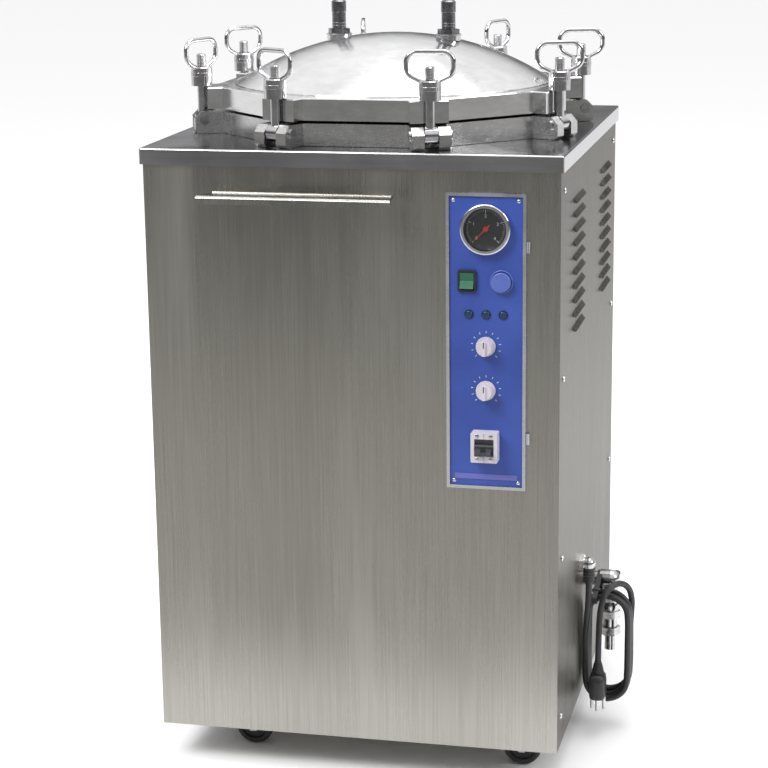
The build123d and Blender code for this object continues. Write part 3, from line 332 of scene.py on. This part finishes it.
MATS = {
    # The housing's base colours are darker than clean steel: painted shade, standing in for the dim room
    # that its front and sides reflect.
    "housing_steel": steel(
        "housing_steel", (0.42, 0.408, 0.38), (0.308, 0.297, 0.271), 0.28, BRUSHED, (7, 7, 1.1), edge=0.42
    ),
    "cover_steel": steel("cover_steel", (0.54, 0.54, 0.56), (0.40, 0.40, 0.41), 0.16, BRUSHED_ACROSS, 5),
    "flange_steel": steel("flange_steel", (0.66, 0.655, 0.65), (0.48, 0.475, 0.47), 0.25, (90, 90, 500), 9),
    "lid_steel": steel("lid_steel", 0.80, 0.64, 0.17, (40, 40, 120), 5),
    "clamp_steel": steel("clamp_steel", (0.66, 0.65, 0.66), (0.42, 0.41, 0.42), 0.13, EVEN, 45, 0.00003),
    "screw_steel": steel("screw_steel", (0.72, 0.72, 0.71), (0.5, 0.5, 0.49), 0.2, EVEN, 60),
    "inner_steel": steel("inner_steel", 0.6, 0.42, 0.28, (20, 20, 300), 8),
    "silicone": plastic("silicone", (0.10, 0.035, 0.025), 0.55),
    "caster_steel": steel("caster_steel", (0.52, 0.52, 0.54), (0.33, 0.33, 0.35), 0.33, EVEN, 50),
    "caster_rubber": plastic("caster_rubber", (0.018, 0.018, 0.02), 0.55, 0.2, 500.0, 0.00006),
    "panel_blue": painted("panel_blue", (0.033, 0.076, 0.37), 0.34),
    "panel_silver": steel("panel_silver", (0.72, 0.74, 0.78), (0.56, 0.58, 0.62), 0.25, BRUSHED_FRAME, 20),
    "gauge_black": steel("gauge_chrome", (0.82, 0.82, 0.86), (0.6, 0.6, 0.64), 0.1, EVEN, 50, 0.00001, 0.05),
    "gauge_red": plastic("gauge_red", (0.62, 0.07, 0.05), 0.35),
    "clear_glass": glass("clear_glass"),
    "switch_black": plastic("switch_black", (0.02, 0.022, 0.026), 0.38),
    "switch_green": plastic("switch_green", (0.02, 0.13, 0.07), 0.22),
    "button_blue": plastic("button_blue", (0.10, 0.145, 0.46), 0.28),
    "lamp_lens": plastic("lamp_lens", (0.008, 0.05, 0.11), 0.15),
    "knob_white": plastic("knob_white", (0.64, 0.60, 0.66), 0.33),
    "valve_steel": steel("valve_steel", 0.66, 0.42, 0.22, EVEN, 40),
    "valve_dark": steel("valve_dark", (0.27, 0.27, 0.28), (0.13, 0.13, 0.14), 0.27, EVEN, 60),
    "lever_black": plastic("lever_black", (0.02, 0.02, 0.022), 0.4),
    "cord_black": plastic("cord_black", (0.016, 0.016, 0.019), 0.45, 0.25, 700.0, 0.00004),
    "plug_black": plastic("plug_black", (0.018, 0.018, 0.02), 0.42, 0.2),
}
INK = plastic("white_ink", (0.78, 0.80, 0.82), 0.5)
DIAL_BLACK = plastic("dial_black", (0.034, 0.034, 0.034), 0.5)
STRIP = painted("strip_lilac", (0.115, 0.13, 0.43), 0.4)

for part in frame["record"]["subparts"]:
    for material_slot in frame["nodes"][part["node"]].material_slots:
        material_slot.material = MATS[part["material_slot"]]


# ---- mesh helpers -----------------------------------------------------------------------------------------


def finish_piece(name, bm, slot, body="housing", mat=None, smooth=True, sharp=40.0):
    """Turns a bmesh into a piece that rides on a body and takes its finish from a slot."""
    bmesh.ops.remove_doubles(bm, verts=bm.verts, dist=1e-7)
    bmesh.ops.recalc_face_normals(bm, faces=bm.faces)
    for edge in bm.edges:
        if len(edge.link_faces) == 2:
            edge.smooth = edge.calc_face_angle(0.0) < radians(sharp)
    for face in bm.faces:
        face.smooth = smooth
    mesh = bpy.data.meshes.new(name)
    bm.to_mesh(mesh)
    bm.free()
    mesh.materials.append(mat or MATS[slot])
    piece = bpy.data.objects.new(name, mesh)
    scene.collection.objects.link(piece)
    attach(piece, body)
    return piece


def axes(direction):
    """A unit vector along direction, and two more square to it and to each other."""
    d = Vector(direction).normalized()
    side = Vector(UP) if abs(d.z) < 0.9 else Vector((1, 0, 0))
    u = side.cross(d).normalized()
    return d, u, d.cross(u)


def skin(bm, rings, closed=False):
    """Joins each ring of vertices to the next with quads. An open run of rings is capped at its ends."""
    for low, high in zip(rings, rings[1:] + rings[:1] if closed else rings[1:]):
        for i in range(len(low)):
            j = (i + 1) % len(low)
            bm.faces.new((low[i], low[j], high[j], high[i]))
    if not closed:
        bm.faces.new(rings[0])
        bm.faces.new(rings[-1])


def lathe(bm, at, direction, profile, steps=48, lobes=None, closed=False):
    """Turns a profile of (height, radius) round a line, as a solid, or as a ring if the profile is closed.

    lobes(angle, index) scales the radius of the profile's point with that index.
    """
    d, u, v = axes(direction)
    rings = []
    for index, (height, radius) in enumerate(profile):
        ring = []
        for step in range(steps):
            a = 2 * pi * step / steps
            r = radius * (lobes(a, index) if lobes else 1.0)
            ring.append(bm.verts.new(Vector(at) + d * height + u * (r * cos(a)) + v * (r * sin(a))))
        rings.append(ring)
    skin(bm, rings, closed)


def block(bm, centre, size, bevel=0.0, turn=None):
    """A box with rounded edges, turned about its own centre."""
    verts = bmesh.ops.create_cube(bm, size=1.0)["verts"]
    bmesh.ops.scale(bm, vec=Vector(size), verts=verts)
    if bevel:
        edges = list({e for v in verts for e in v.link_edges})
        grown = bmesh.ops.bevel(bm, geom=edges, offset=bevel, segments=2, affect="EDGES", profile=0.5)
        verts = list({v for f in grown["faces"] for v in f.verts} | {v for v in verts if v.is_valid})
    if turn is not None:
        bmesh.ops.rotate(bm, cent=(0, 0, 0), matrix=turn, verts=verts)
    bmesh.ops.translate(bm, vec=Vector(centre), verts=verts)


def radial_block(bm, centre, a, reach, size, bevel=0.0):
    """A box on the front, at an angle and a reach from centre, with its length along the radius."""
    place = Vector(centre) + Vector((cos(a), 0, sin(a))) * reach
    block(bm, place, size, bevel, Matrix.Rotation(-a, 3, "Y"))


def tube(bm, points, radius, steps=12, closed=False):
    """A round rod through points, given close together."""
    points = [Vector(p) for p in points]
    count = len(points)
    rings = []
    normal = None
    for i, point in enumerate(points):
        before = points[i - 1] if (i or closed) else points[0]
        after = points[(i + 1) % count] if (i + 1 < count or closed) else points[-1]
        tangent = (after - before).normalized()
        if normal is None:
            normal = axes(tangent)[1]
        normal = (normal - tangent * normal.dot(tangent)).normalized()
        side = tangent.cross(normal)
        ring = []
        for step in range(steps):
            a = 2 * pi * step / steps
            ring.append(bm.verts.new(point + (normal * cos(a) + side * sin(a)) * radius))
        rings.append(ring)
    skin(bm, rings, closed)


def circle(radius, z, steps):
    """Points of a level circle round the vessel's axis."""
    return [(radius * cos(a), radius * sin(a), z) for a in (2 * pi * i / steps for i in range(steps))]


# ---- housing details --------------------------------------------------------------------------------------

GRIP_BACK_Z = TOP_Z - 0.0535
GRIP_X = -0.171
GRIP_WIDTH = 0.225
SCREW_ROWS = (0.09, 0.30, 0.53, 0.762)
SCREW_IN = 0.028


def make_screws():
    """Pan-head screws with a cross recess, in place of the plain heads."""
    head = [(0.0, 0.0040), (0.0009, 0.0040), (0.0016, 0.0035), (0.00205, 0.0025)]
    recess = [(0.00215, 0.0019), (0.0012, 0.0015)]
    places = []
    for z in SCREW_ROWS:
        for along in (SCREW_IN - HALF, HALF - SCREW_IN):
            places.append(((HALF, along, z), (1, 0, 0)))
            places.append(((-HALF, along, z), (-1, 0, 0)))
            places.append(((along, HALF, z), (0, 1, 0)))
    bm = bmesh.new()
    for number, (at, facing) in enumerate(places):

        def cross(a, index, turn=0.7 * number):
            """Pulls the recess in between the four arms of the cross."""
            if index < len(head):
                return 1.0
            return 0.42 + 0.58 * abs(cos(2 * (a + turn))) ** 3

        lathe(bm, at, facing, head + recess, 32, cross)
    screws = finish_piece("panel_screw_heads", bm, "screw_steel", sharp=30)
    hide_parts("panel_screws")


def make_grip_weld():
    """Bead of weld where the ledge grip meets the front sheet."""
    steps = 160
    points = []
    for step in range(steps + 1):
        ripple = 0.00012 * sin(step * 2.3)
        points.append((GRIP_X + GRIP_WIDTH * step / steps, -HALF - 0.0006, GRIP_BACK_Z + ripple))
    bm = bmesh.new()
    tube(bm, points, 0.0015, 8)
    finish_piece("grip_weld", bm, "housing_steel")


# ---- control panel ----------------------------------------------------------------------------------------

SCALE_START = 225
SCALE_SWEEP = 270
LAMP_PITCH = 0.021


def make_gauge():
    """Gauge dial with its ticks and numbers, printed flat under the glass."""
    tick_reach, number_reach = 0.0235, 0.0158
    centre = middle("gauge_case")
    at = Vector((centre.x, PLATE_Y - 0.0021, centre.z))
    bm = bmesh.new()
    lathe(bm, at, FRONT, [(0, 0.0257), (0.0002, 0.0259), (0.0004, 0.0256)], 64)
    finish_piece("gauge_dial", bm, "gauge_red", mat=DIAL_BLACK)
    bm = bmesh.new()
    ticks = 40
    for tick in range(ticks + 1):
        a = radians(SCALE_START - SCALE_SWEEP * tick / ticks)
        major = tick % 10 == 0
        length = 0.0042 if major else (0.003 if tick % 5 == 0 else 0.002)
        width = 0.0007 if major else 0.00035
        radial_block(bm, at + Vector((0, -0.0005, 0)), a, tick_reach - length / 2, (length, 0.0002, width))
    finish_piece("gauge_ticks", bm, "gauge_red", mat=INK, smooth=False)
    numbers = 5
    for number in range(numbers):
        a = radians(SCALE_START - SCALE_SWEEP * number / (numbers - 1))
        text = bpy.data.curves.new("gauge_number", "FONT")
        text.body = str(number)
        text.size = 0.0056
        text.align_x = "CENTER"
        text.align_y = "CENTER"
        text.extrude = 0.00008
        text.materials.append(INK)
        digit = bpy.data.objects.new(f"gauge_number_{number}", text)
        digit.location = at + Vector((cos(a) * number_reach, -0.00055, sin(a) * number_reach))
        digit.rotation_euler = (pi / 2, 0, 0)
        scene.collection.objects.link(digit)
        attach(digit, "housing")


def make_panel_print():
    """Scale ticks round the knobs, a blank strip at the panel's foot and the plate's corner screws."""
    ticks, reach = 11, 0.0175
    bm = bmesh.new()
    for name in KNOBS:
        centre = (PANEL_X, PLATE_Y - 0.0001, middle(name).z)
        for tick in range(ticks):
            a = radians(SCALE_START - SCALE_SWEEP * tick / (ticks - 1))
            radial_block(bm, centre, a, reach, (0.0026, 0.0003, 0.0006))
    finish_piece("knob_scales", bm, "panel_blue", mat=INK, smooth=False)
    bm = bmesh.new()
    block(bm, (PANEL_X, PLATE_Y - 0.0004, TOP_Z - 0.3975), (0.078, 0.001, 0.007), 0.0004)
    finish_piece("panel_strip", bm, "panel_blue", mat=STRIP)
    low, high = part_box("panel_plate")
    inset = 0.005
    head = [(0, 0.0022), (0.0006, 0.0022), (0.0012, 0.0015), (0.0013, 0.0006)]
    bm = bmesh.new()
    for x in (low.x + inset, high.x - inset):
        for z in (low.z + inset, high.z - inset):
            lathe(bm, (x, PLATE_Y, z), FRONT, head, 20)
    finish_piece("plate_screws", bm, "screw_steel")


def make_knob_details():
    """Pointer lines on the two knobs, and finger flutes round each skirt."""
    ribs, reach = 24, 0.0097
    for name in KNOBS:
        z = middle(name).z
        bm = bmesh.new()
        front_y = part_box(name)[0].y
        block(bm, (PANEL_X, front_y - 0.0001, z + 0.0046), (0.0011, 0.0005, 0.0075), 0.0002)
        finish_piece(f"{name}_pointer", bm, "knob_white", name, MATS["switch_black"])
        bm = bmesh.new()
        for rib in range(ribs):
            a = 2 * pi * (rib + 0.5) / ribs
            radial_block(bm, (PANEL_X, PLATE_Y - 0.0092, z), a, reach, (0.0014, 0.009, 0.0011), 0.0004)
        finish_piece(f"{name}_ribs", bm, "knob_white", name)


def make_switch_details():
    """A rim round the push button and each lamp, and the breaker's seams and screws."""
    button = middle("push_button")
    rim = [(0, 0.0125), (0, 0.0145), (0.0016, 0.0142), (0.002, 0.0132), (0.0016, 0.0125)]
    bm = bmesh.new()
    lathe(bm, (button.x, PLATE_Y, button.z), FRONT, rim, 48, closed=True)
    finish_piece("button_rim", bm, "button_blue")
    lamps_z = middle("indicator_lamps").z
    rim = [(0, 0.0047), (0, 0.0058), (0.0012, 0.0056), (0.0014, 0.005), (0.0012, 0.0047)]
    bm = bmesh.new()
    for column in (-1, 0, 1):
        lathe(bm, (PANEL_X + LAMP_PITCH * column, PLATE_Y, lamps_z), FRONT, rim, 32, closed=True)
    finish_piece("lamp_rims", bm, "switch_black")
    low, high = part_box("breaker_body")
    inset, pole_x = 0.0041, 0.0085
    bm = bmesh.new()
    for z in (high.z - inset, low.z + inset):
        for x in (PANEL_X - pole_x, PANEL_X + pole_x):
            lathe(bm, (x, low.y, z), FRONT, [(0, 0.0026), (0.0004, 0.0026), (0.0007, 0.0021)], 20)
        block(bm, (PANEL_X, low.y - 0.0001, z), (0.0006, 0.0006, 0.0065), 0.0001)
    finish_piece("breaker_screws", bm, "screw_steel")


# ---- casters ----------------------------------------------------------------------------------------------


def make_casters():
    """Wheels with a grooved tread and a hub, and the nuts of their axles."""
    for place in ("front_left", "front_right", "rear_left", "rear_right"):
        low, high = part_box(f"caster_wheel_{place}")
        centre = (low + high) / 2
        half, radius = (high.y - low.y) / 2, (high.z - low.z) / 2
        outline = [
            (-half + 0.0012, 0.0032),
            (-half + 0.0012, 0.0085),
            (-half + 0.0034, 0.0098),
            (-half + 0.0034, 0.0165),
            (-half + 0.0004, 0.0180),
            (-half, 0.0225),
            (-half + 0.0022, radius - 0.0006),
            (-0.0035, radius),
            (-0.0028, radius - 0.0011),
            (-0.0018, radius - 0.0011),
            (-0.0011, radius),
        ]
        mirrored = [(-h, r) for h, r in reversed(outline)]
        bm = bmesh.new()
        lathe(bm, centre, (0, 1, 0), outline + mirrored, 64, closed=True)
        wheel = finish_piece(f"wheel_{place}", bm, "caster_rubber", f"caster_wheel_{place}", sharp=32)
        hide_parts(f"caster_wheel_{place}")
        low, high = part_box(f"caster_fork_{place}")
        nut = [(0, 0.0052), (0.0017, 0.0052), (0.0021, 0.0046)]
        bm = bmesh.new()
        for side, edge in ((-1, low.y), (1, high.y)):
            lathe(bm, (centre.x, edge - side * 0.0022, centre.z), (0, side, 0), nut, 6)
        finish_piece(f"axle_nuts_{place}", bm, "caster_steel", f"caster_fork_{place}", smooth=False)


# ---- clamps, lid and basket -------------------------------------------------------------------------------

BOLT_CIRCLE = 0.252
CLAMPS = 8
NUT_TOP_Z = TOP_Z + 0.084
THREAD_PITCH = 0.00175
THREAD_CREST = 0.00615
THREAD_ROOT = 0.0055
KNURLS = 72
DOME_WELD_R = 0.2064
DOME_WELD_Z = TOP_Z + 0.0594
BASKET_R = 0.1605


def make_clamp_details():
    """Thread on each stud's end, and a knurled band round each ring nut."""
    band = [(0.0, 0.0134), (0.0004, 0.01362), (0.0046, 0.01362), (0.005, 0.0134)]

    def knurl(a, index):
        """Raises every other step of the band's two middle rings."""
        return 1.0 + (0.012 if index in (1, 2) and int(a / (2 * pi) * KNURLS + 0.5) % 2 else 0.0)

    for number in range(1, CLAMPS + 1):
        angle = 2 * pi * (number - 0.5) / CLAMPS
        centre = Vector((BOLT_CIRCLE * cos(angle), BOLT_CIRCLE * sin(angle), 0))
        stud_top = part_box(f"swing_bolt_{number}")[1].z
        z = NUT_TOP_Z + 0.0006
        profile = []
        while z < stud_top - 0.0022:
            profile += [(z, THREAD_ROOT), (z + THREAD_PITCH / 2, THREAD_CREST)]
            z += THREAD_PITCH
        profile.append((z, THREAD_ROOT))
        bm = bmesh.new()
        lathe(bm, centre, UP, profile, 28)
        finish_piece(f"stud_thread_{number}", bm, "clamp_steel", f"swing_bolt_{number}", sharp=20)
        nut_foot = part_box(f"ring_nut_{number}")[0].z
        bm = bmesh.new()
        lathe(bm, centre + Vector((0, 0, nut_foot + 0.012)), UP, band, KNURLS, knurl)
        finish_piece(f"nut_knurl_{number}", bm, "clamp_steel", f"ring_nut_{number}", smooth=False)


def make_lid_details():
    """Washers and collars on the two valves, and the weld bead where the dome meets its flange."""
    washer = [(0.0, 0.0092), (0.0, 0.0168), (0.0014, 0.0168), (0.0018, 0.016), (0.0018, 0.0092)]
    collar = [(0.0, 0.0088), (0.0003, 0.0096), (0.0011, 0.0096), (0.0014, 0.0088)]
    for name in ("safety_valve", "vent_valve"):
        x, foot = middle(name).x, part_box(name)[0].z
        bm = bmesh.new()
        lathe(bm, (x, 0, foot), UP, washer, 48, closed=True)
        finish_piece(f"{name}_washer", bm, "valve_steel", "lid")
        bm = bmesh.new()
        for height in (0.0115, 0.0150, 0.0290):
            lathe(bm, (x, 0, foot + height), UP, collar, 40, closed=True)
        finish_piece(f"{name}_collars", bm, "valve_steel", "lid")
    steps = 220
    points = []
    for step in range(steps):
        a = 2 * pi * step / steps
        wobble = 0.00018 * sin(step * 2.9) + 0.0001 * sin(step * 1.3)
        r = DOME_WELD_R + wobble
        points.append((r * cos(a), r * sin(a), DOME_WELD_Z + wobble))
    bm = bmesh.new()
    tube(bm, points, 0.0017, 8, True)
    finish_piece("dome_weld", bm, "lid_steel", "lid")


def make_basket():
    """Wire basket: a rolled rim, hoops, upright wires and a spoked floor."""
    low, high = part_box("basket")
    rim_wire, wall_wire, floor_wire, spoke_wire = 0.0032, 0.0011, 0.0012, 0.0013
    bm = bmesh.new()
    tube(bm, circle(BASKET_R, high.z - 0.0035, 96), rim_wire, 10, True)
    hoops = 17
    for hoop in range(hoops):
        z = low.z + 0.003 + (high.z - low.z - 0.02) * hoop / (hoops - 1)
        tube(bm, circle(BASKET_R, z, 72), wall_wire, 6, True)
    for x, y, _ in circle(BASKET_R, 0, 48):
        upright = [(x, y, z) for z in (low.z + 0.002, (low.z + high.z) / 2, high.z - 0.004)]
        tube(bm, upright, wall_wire, 6)
    for radius in (0.03, 0.065, 0.1, 0.135):
        tube(bm, circle(radius, low.z + 0.0025, 64), floor_wire, 6, True)
    spokes = 12
    for spoke in range(spokes):
        a = pi * spoke / spokes
        x, y, z = cos(a) * BASKET_R, sin(a) * BASKET_R, low.z + 0.0015
        tube(bm, [(-x, -y, z), (0, 0, z), (x, y, z)], spoke_wire, 6)
    basket = finish_piece("wire_basket", bm, "inner_steel")
    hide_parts("basket")


# ---- cord -------------------------------------------------------------------------------------------------

CORD_D = 0.0084
LEAD = [
    (0.2720, -0.0620, 0.2120),
    (0.2720, -0.0615, 0.1860),
    (0.2695, -0.0590, 0.1580),
    (0.2670, -0.0530, 0.1300),
    (0.2665, -0.0460, 0.1040),
]
TAIL = [
    (0.3225, -0.0124, 0.1380),
    (0.3235, -0.0120, 0.1560),
    (0.3244, -0.0115, 0.1740),
    (0.3208, -0.0160, 0.1915),
    (0.3117, -0.0277, 0.2023),
    (0.3003, -0.0423, 0.2023),
    (0.2912, -0.0540, 0.1915),
    (0.2876, -0.0585, 0.1740),
    (0.2865, -0.0615, 0.1560),
    (0.2863, -0.0635, 0.1380),
    (0.2861, -0.0650, 0.1200),
    (0.2860, -0.0660, 0.1020),
]
FOLD_R = 0.028
FOLD_CORNERS = 6
FOLD_X = 0.2945
FOLD_TOP = 0.1578
FOLD_LOW = 0.0702
LAYERS = 4
FIRST_Y = -0.0462
LAST_Y = -0.0072
# How far each turn is pulled in at its top and at its foot.
SLACK = (0.0, 0.0028, -0.0012, 0.0036, 0.0014)


def fold(middle_z, start):
    """Control points (x, z) of a half turn from an angle; its inner corners stand outside the arc."""
    points = []
    for step in range(FOLD_CORNERS + 1):
        a = start + pi * step / FOLD_CORNERS
        r = FOLD_R / cos(pi / FOLD_CORNERS / 2) if 0 < step < FOLD_CORNERS else FOLD_R
        points.append((r * cos(a), middle_z + r * sin(a)))
    return points


def hank_points():
    """Control points of the hank: LAYERS and a half long loops that start on the left, going down."""
    straight = FOLD_TOP - FOLD_LOW
    loop = [(-FOLD_R, FOLD_TOP - straight * 0.62)] + fold(FOLD_LOW, pi)
    loop += [(FOLD_R, FOLD_LOW + straight * 0.5)] + fold(FOLD_TOP, 0.0)
    count = len(loop)
    total = LAYERS * count + 2 + FOLD_CORNERS
    points = []
    for i in range(1, total + 1):
        x, z = loop[i % count]
        slack = SLACK[i // count]
        if z > FOLD_TOP:
            z -= slack
        elif z < FOLD_LOW:
            z += slack
        points.append((FOLD_X + x, FIRST_Y + (LAST_Y - FIRST_Y) * i / total, z))
    return points


def fill_spline(data, points):
    """Gives a curve one quadratic spline with these control points."""
    spline = data.splines.new("NURBS")
    spline.points.add(len(points) - 1)
    for point, co in zip(spline.points, points):
        point.co = (*co, 1)
    spline.order_u = 3
    spline.use_endpoint_u = True
    spline.resolution_u = 8


def curve_length(points):
    """Length of the quadratic spline with these control points."""
    data = bpy.data.curves.new("measure", "CURVE")
    data.dimensions = "3D"
    fill_spline(data, points)
    probe = bpy.data.objects.new("measure", data)
    mesh = bpy.data.meshes.new_from_object(probe)
    total = 0.0
    for edge in mesh.edges:
        start, end = (mesh.vertices[index].co for index in edge.vertices)
        total += (end - start).length
    bpy.data.objects.remove(probe)
    bpy.data.meshes.remove(mesh)
    return total


def make_plug():
    """Moulded mains plug hanging pins down, with a ribbed sleeve and three pins."""
    x, y, _ = TAIL[-1]
    entry, body_top, body_low = 0.102, 0.086, 0.052
    flatness = 0.68

    def squared(a, _):
        """Turns the circle into a rounded oblong, wider along X."""
        return (abs(cos(a)) ** 3 + (abs(sin(a)) / flatness) ** 3) ** (-1 / 3)

    body = [
        (body_low, 0.0135),
        (body_low + 0.0012, 0.0152),
        (body_low + 0.008, 0.0168),
        (body_low + 0.016, 0.0160),
        (body_low + 0.024, 0.0166),
        (body_low + 0.031, 0.0150),
        (body_top, 0.0115),
    ]
    sleeve = []
    ribs = 6
    for rib in range(ribs):
        z = body_top - 0.001 + (entry - body_top) * rib / ribs
        r = 0.0088 - 0.0036 * rib / ribs
        sleeve += [(z, r), (z + 0.0014, r), (z + 0.0017, r - 0.0011), (z + 0.0024, r - 0.0011)]
    sleeve.append((entry, 0.0050))
    bm = bmesh.new()
    lathe(bm, (x, y, 0), UP, body, 48, squared)
    lathe(bm, (x, y, 0), UP, sleeve, 32)
    plug = finish_piece("mains_plug", bm, "plug_black", sharp=50)
    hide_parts("power_plug")
    pin = [(0.0342, 0.0016), (0.0350, 0.0023), (0.0525, 0.0023)]
    bm = bmesh.new()
    for pin_x, pin_y in ((-0.008, 0.004), (0.008, 0.004), (0.0, -0.005)):
        lathe(bm, (x + pin_x, y + pin_y, 0), UP, pin, 20)
    return plug, finish_piece("plug_pins", bm, "screw_steel")


def hull(points):
    """Convex outline of points in a plane, anticlockwise."""
    points = sorted(set(points))

    def half(seq):
        """One side of the outline, without its last point."""
        chain = []
        for p in seq:
            while len(chain) > 1:
                (ax, ay), (bx, by) = chain[-2], chain[-1]
                if (bx - ax) * (p[1] - ay) - (by - ay) * (p[0] - ax) > 0:
                    break
                chain.pop()
            chain.append(p)
        return chain[:-1]

    return half(points) + half(points[::-1])


def make_tie():
    """Strap that holds the hank's top against the drain pipe, with its buckle."""
    x_low, x_high, thick = 0.2745, 0.2815, 0.0013
    # (y, z, radius) of the drain pipe and of the hank's last and first turns, which the strap goes round
    held = ((0.015, 0.192, 0.0108), (-0.003, 0.1825, 0.0052), (-0.0458, 0.1825, 0.0052))
    steps = 24
    around = []
    for y, z, r in held:
        for step in range(steps):
            a = 2 * pi * step / steps
            around.append((round(y + r * cos(a), 6), round(z + r * sin(a), 6)))
    outline = hull(around)
    centre_y, centre_z = (sum(values) / len(outline) for values in zip(*outline))
    bm = bmesh.new()
    rings = []
    for y, z in outline:
        out = Vector((0, y - centre_y, z - centre_z)).normalized() * thick
        inner = [Vector((x_low, y, z)), Vector((x_high, y, z))]
        outer = [inner[1] + out, inner[0] + out]
        rings.append([bm.verts.new(place) for place in inner + outer])
    skin(bm, rings, closed=True)
    block(bm, ((x_low + x_high) / 2, -0.030, 0.1905), (0.0105, 0.008, 0.0042), 0.0008)
    return finish_piece("cord_tie", bm, "plug_black", sharp=35)


def make_gland_boot():
    """Ribbed boot that guards the lead where it leaves the gland."""
    x, y, mouth = LEAD[0]
    ribs, pitch = 5, 0.0042
    boot = [(mouth - 0.0004, 0.0048), (mouth - 0.0004, 0.0061)]
    for rib in range(ribs):
        low = mouth + 0.001 + pitch * rib
        r = 0.0062 + 0.0004 * rib
        boot += [(low, r), (low + 0.0005, r + 0.0009), (low + 0.0024, r + 0.001), (low + 0.0029, r + 0.0002)]
    boot.append((mouth + 0.0225, 0.0048))
    bm = bmesh.new()
    lathe(bm, (x, y, 0), UP, boot, 40)
    finish_piece("gland_boot", bm, "plug_black", sharp=35)


def make_cord():
    """The whole mains lead on one spline: gland, hank, and tail over the top to the plug."""
    route = LEAD + hank_points() + TAIL
    length = curve_length(route)
    data = bpy.data.curves.new("power_cord", "CURVE")
    data.dimensions = "3D"
    data.bevel_depth = CORD_D / 2
    data.bevel_resolution = 5
    data.use_fill_caps = True
    fill_spline(data, route)
    data.materials.append(MATS["cord_black"])
    cord = bpy.data.objects.new("power_cord", data)
    scene.collection.objects.link(cord)
    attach(cord, "housing")
    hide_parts("power_cord_lead", "power_cord_hank", "power_cord_tail")
    plug, pins = make_plug()
    tie = make_tie()
    make_gland_boot()


make_cord()
make_screws()
make_grip_weld()
make_gauge()
make_panel_print()
make_knob_details()
make_switch_details()
make_casters()
make_clamp_details()
make_lid_details()
make_basket()
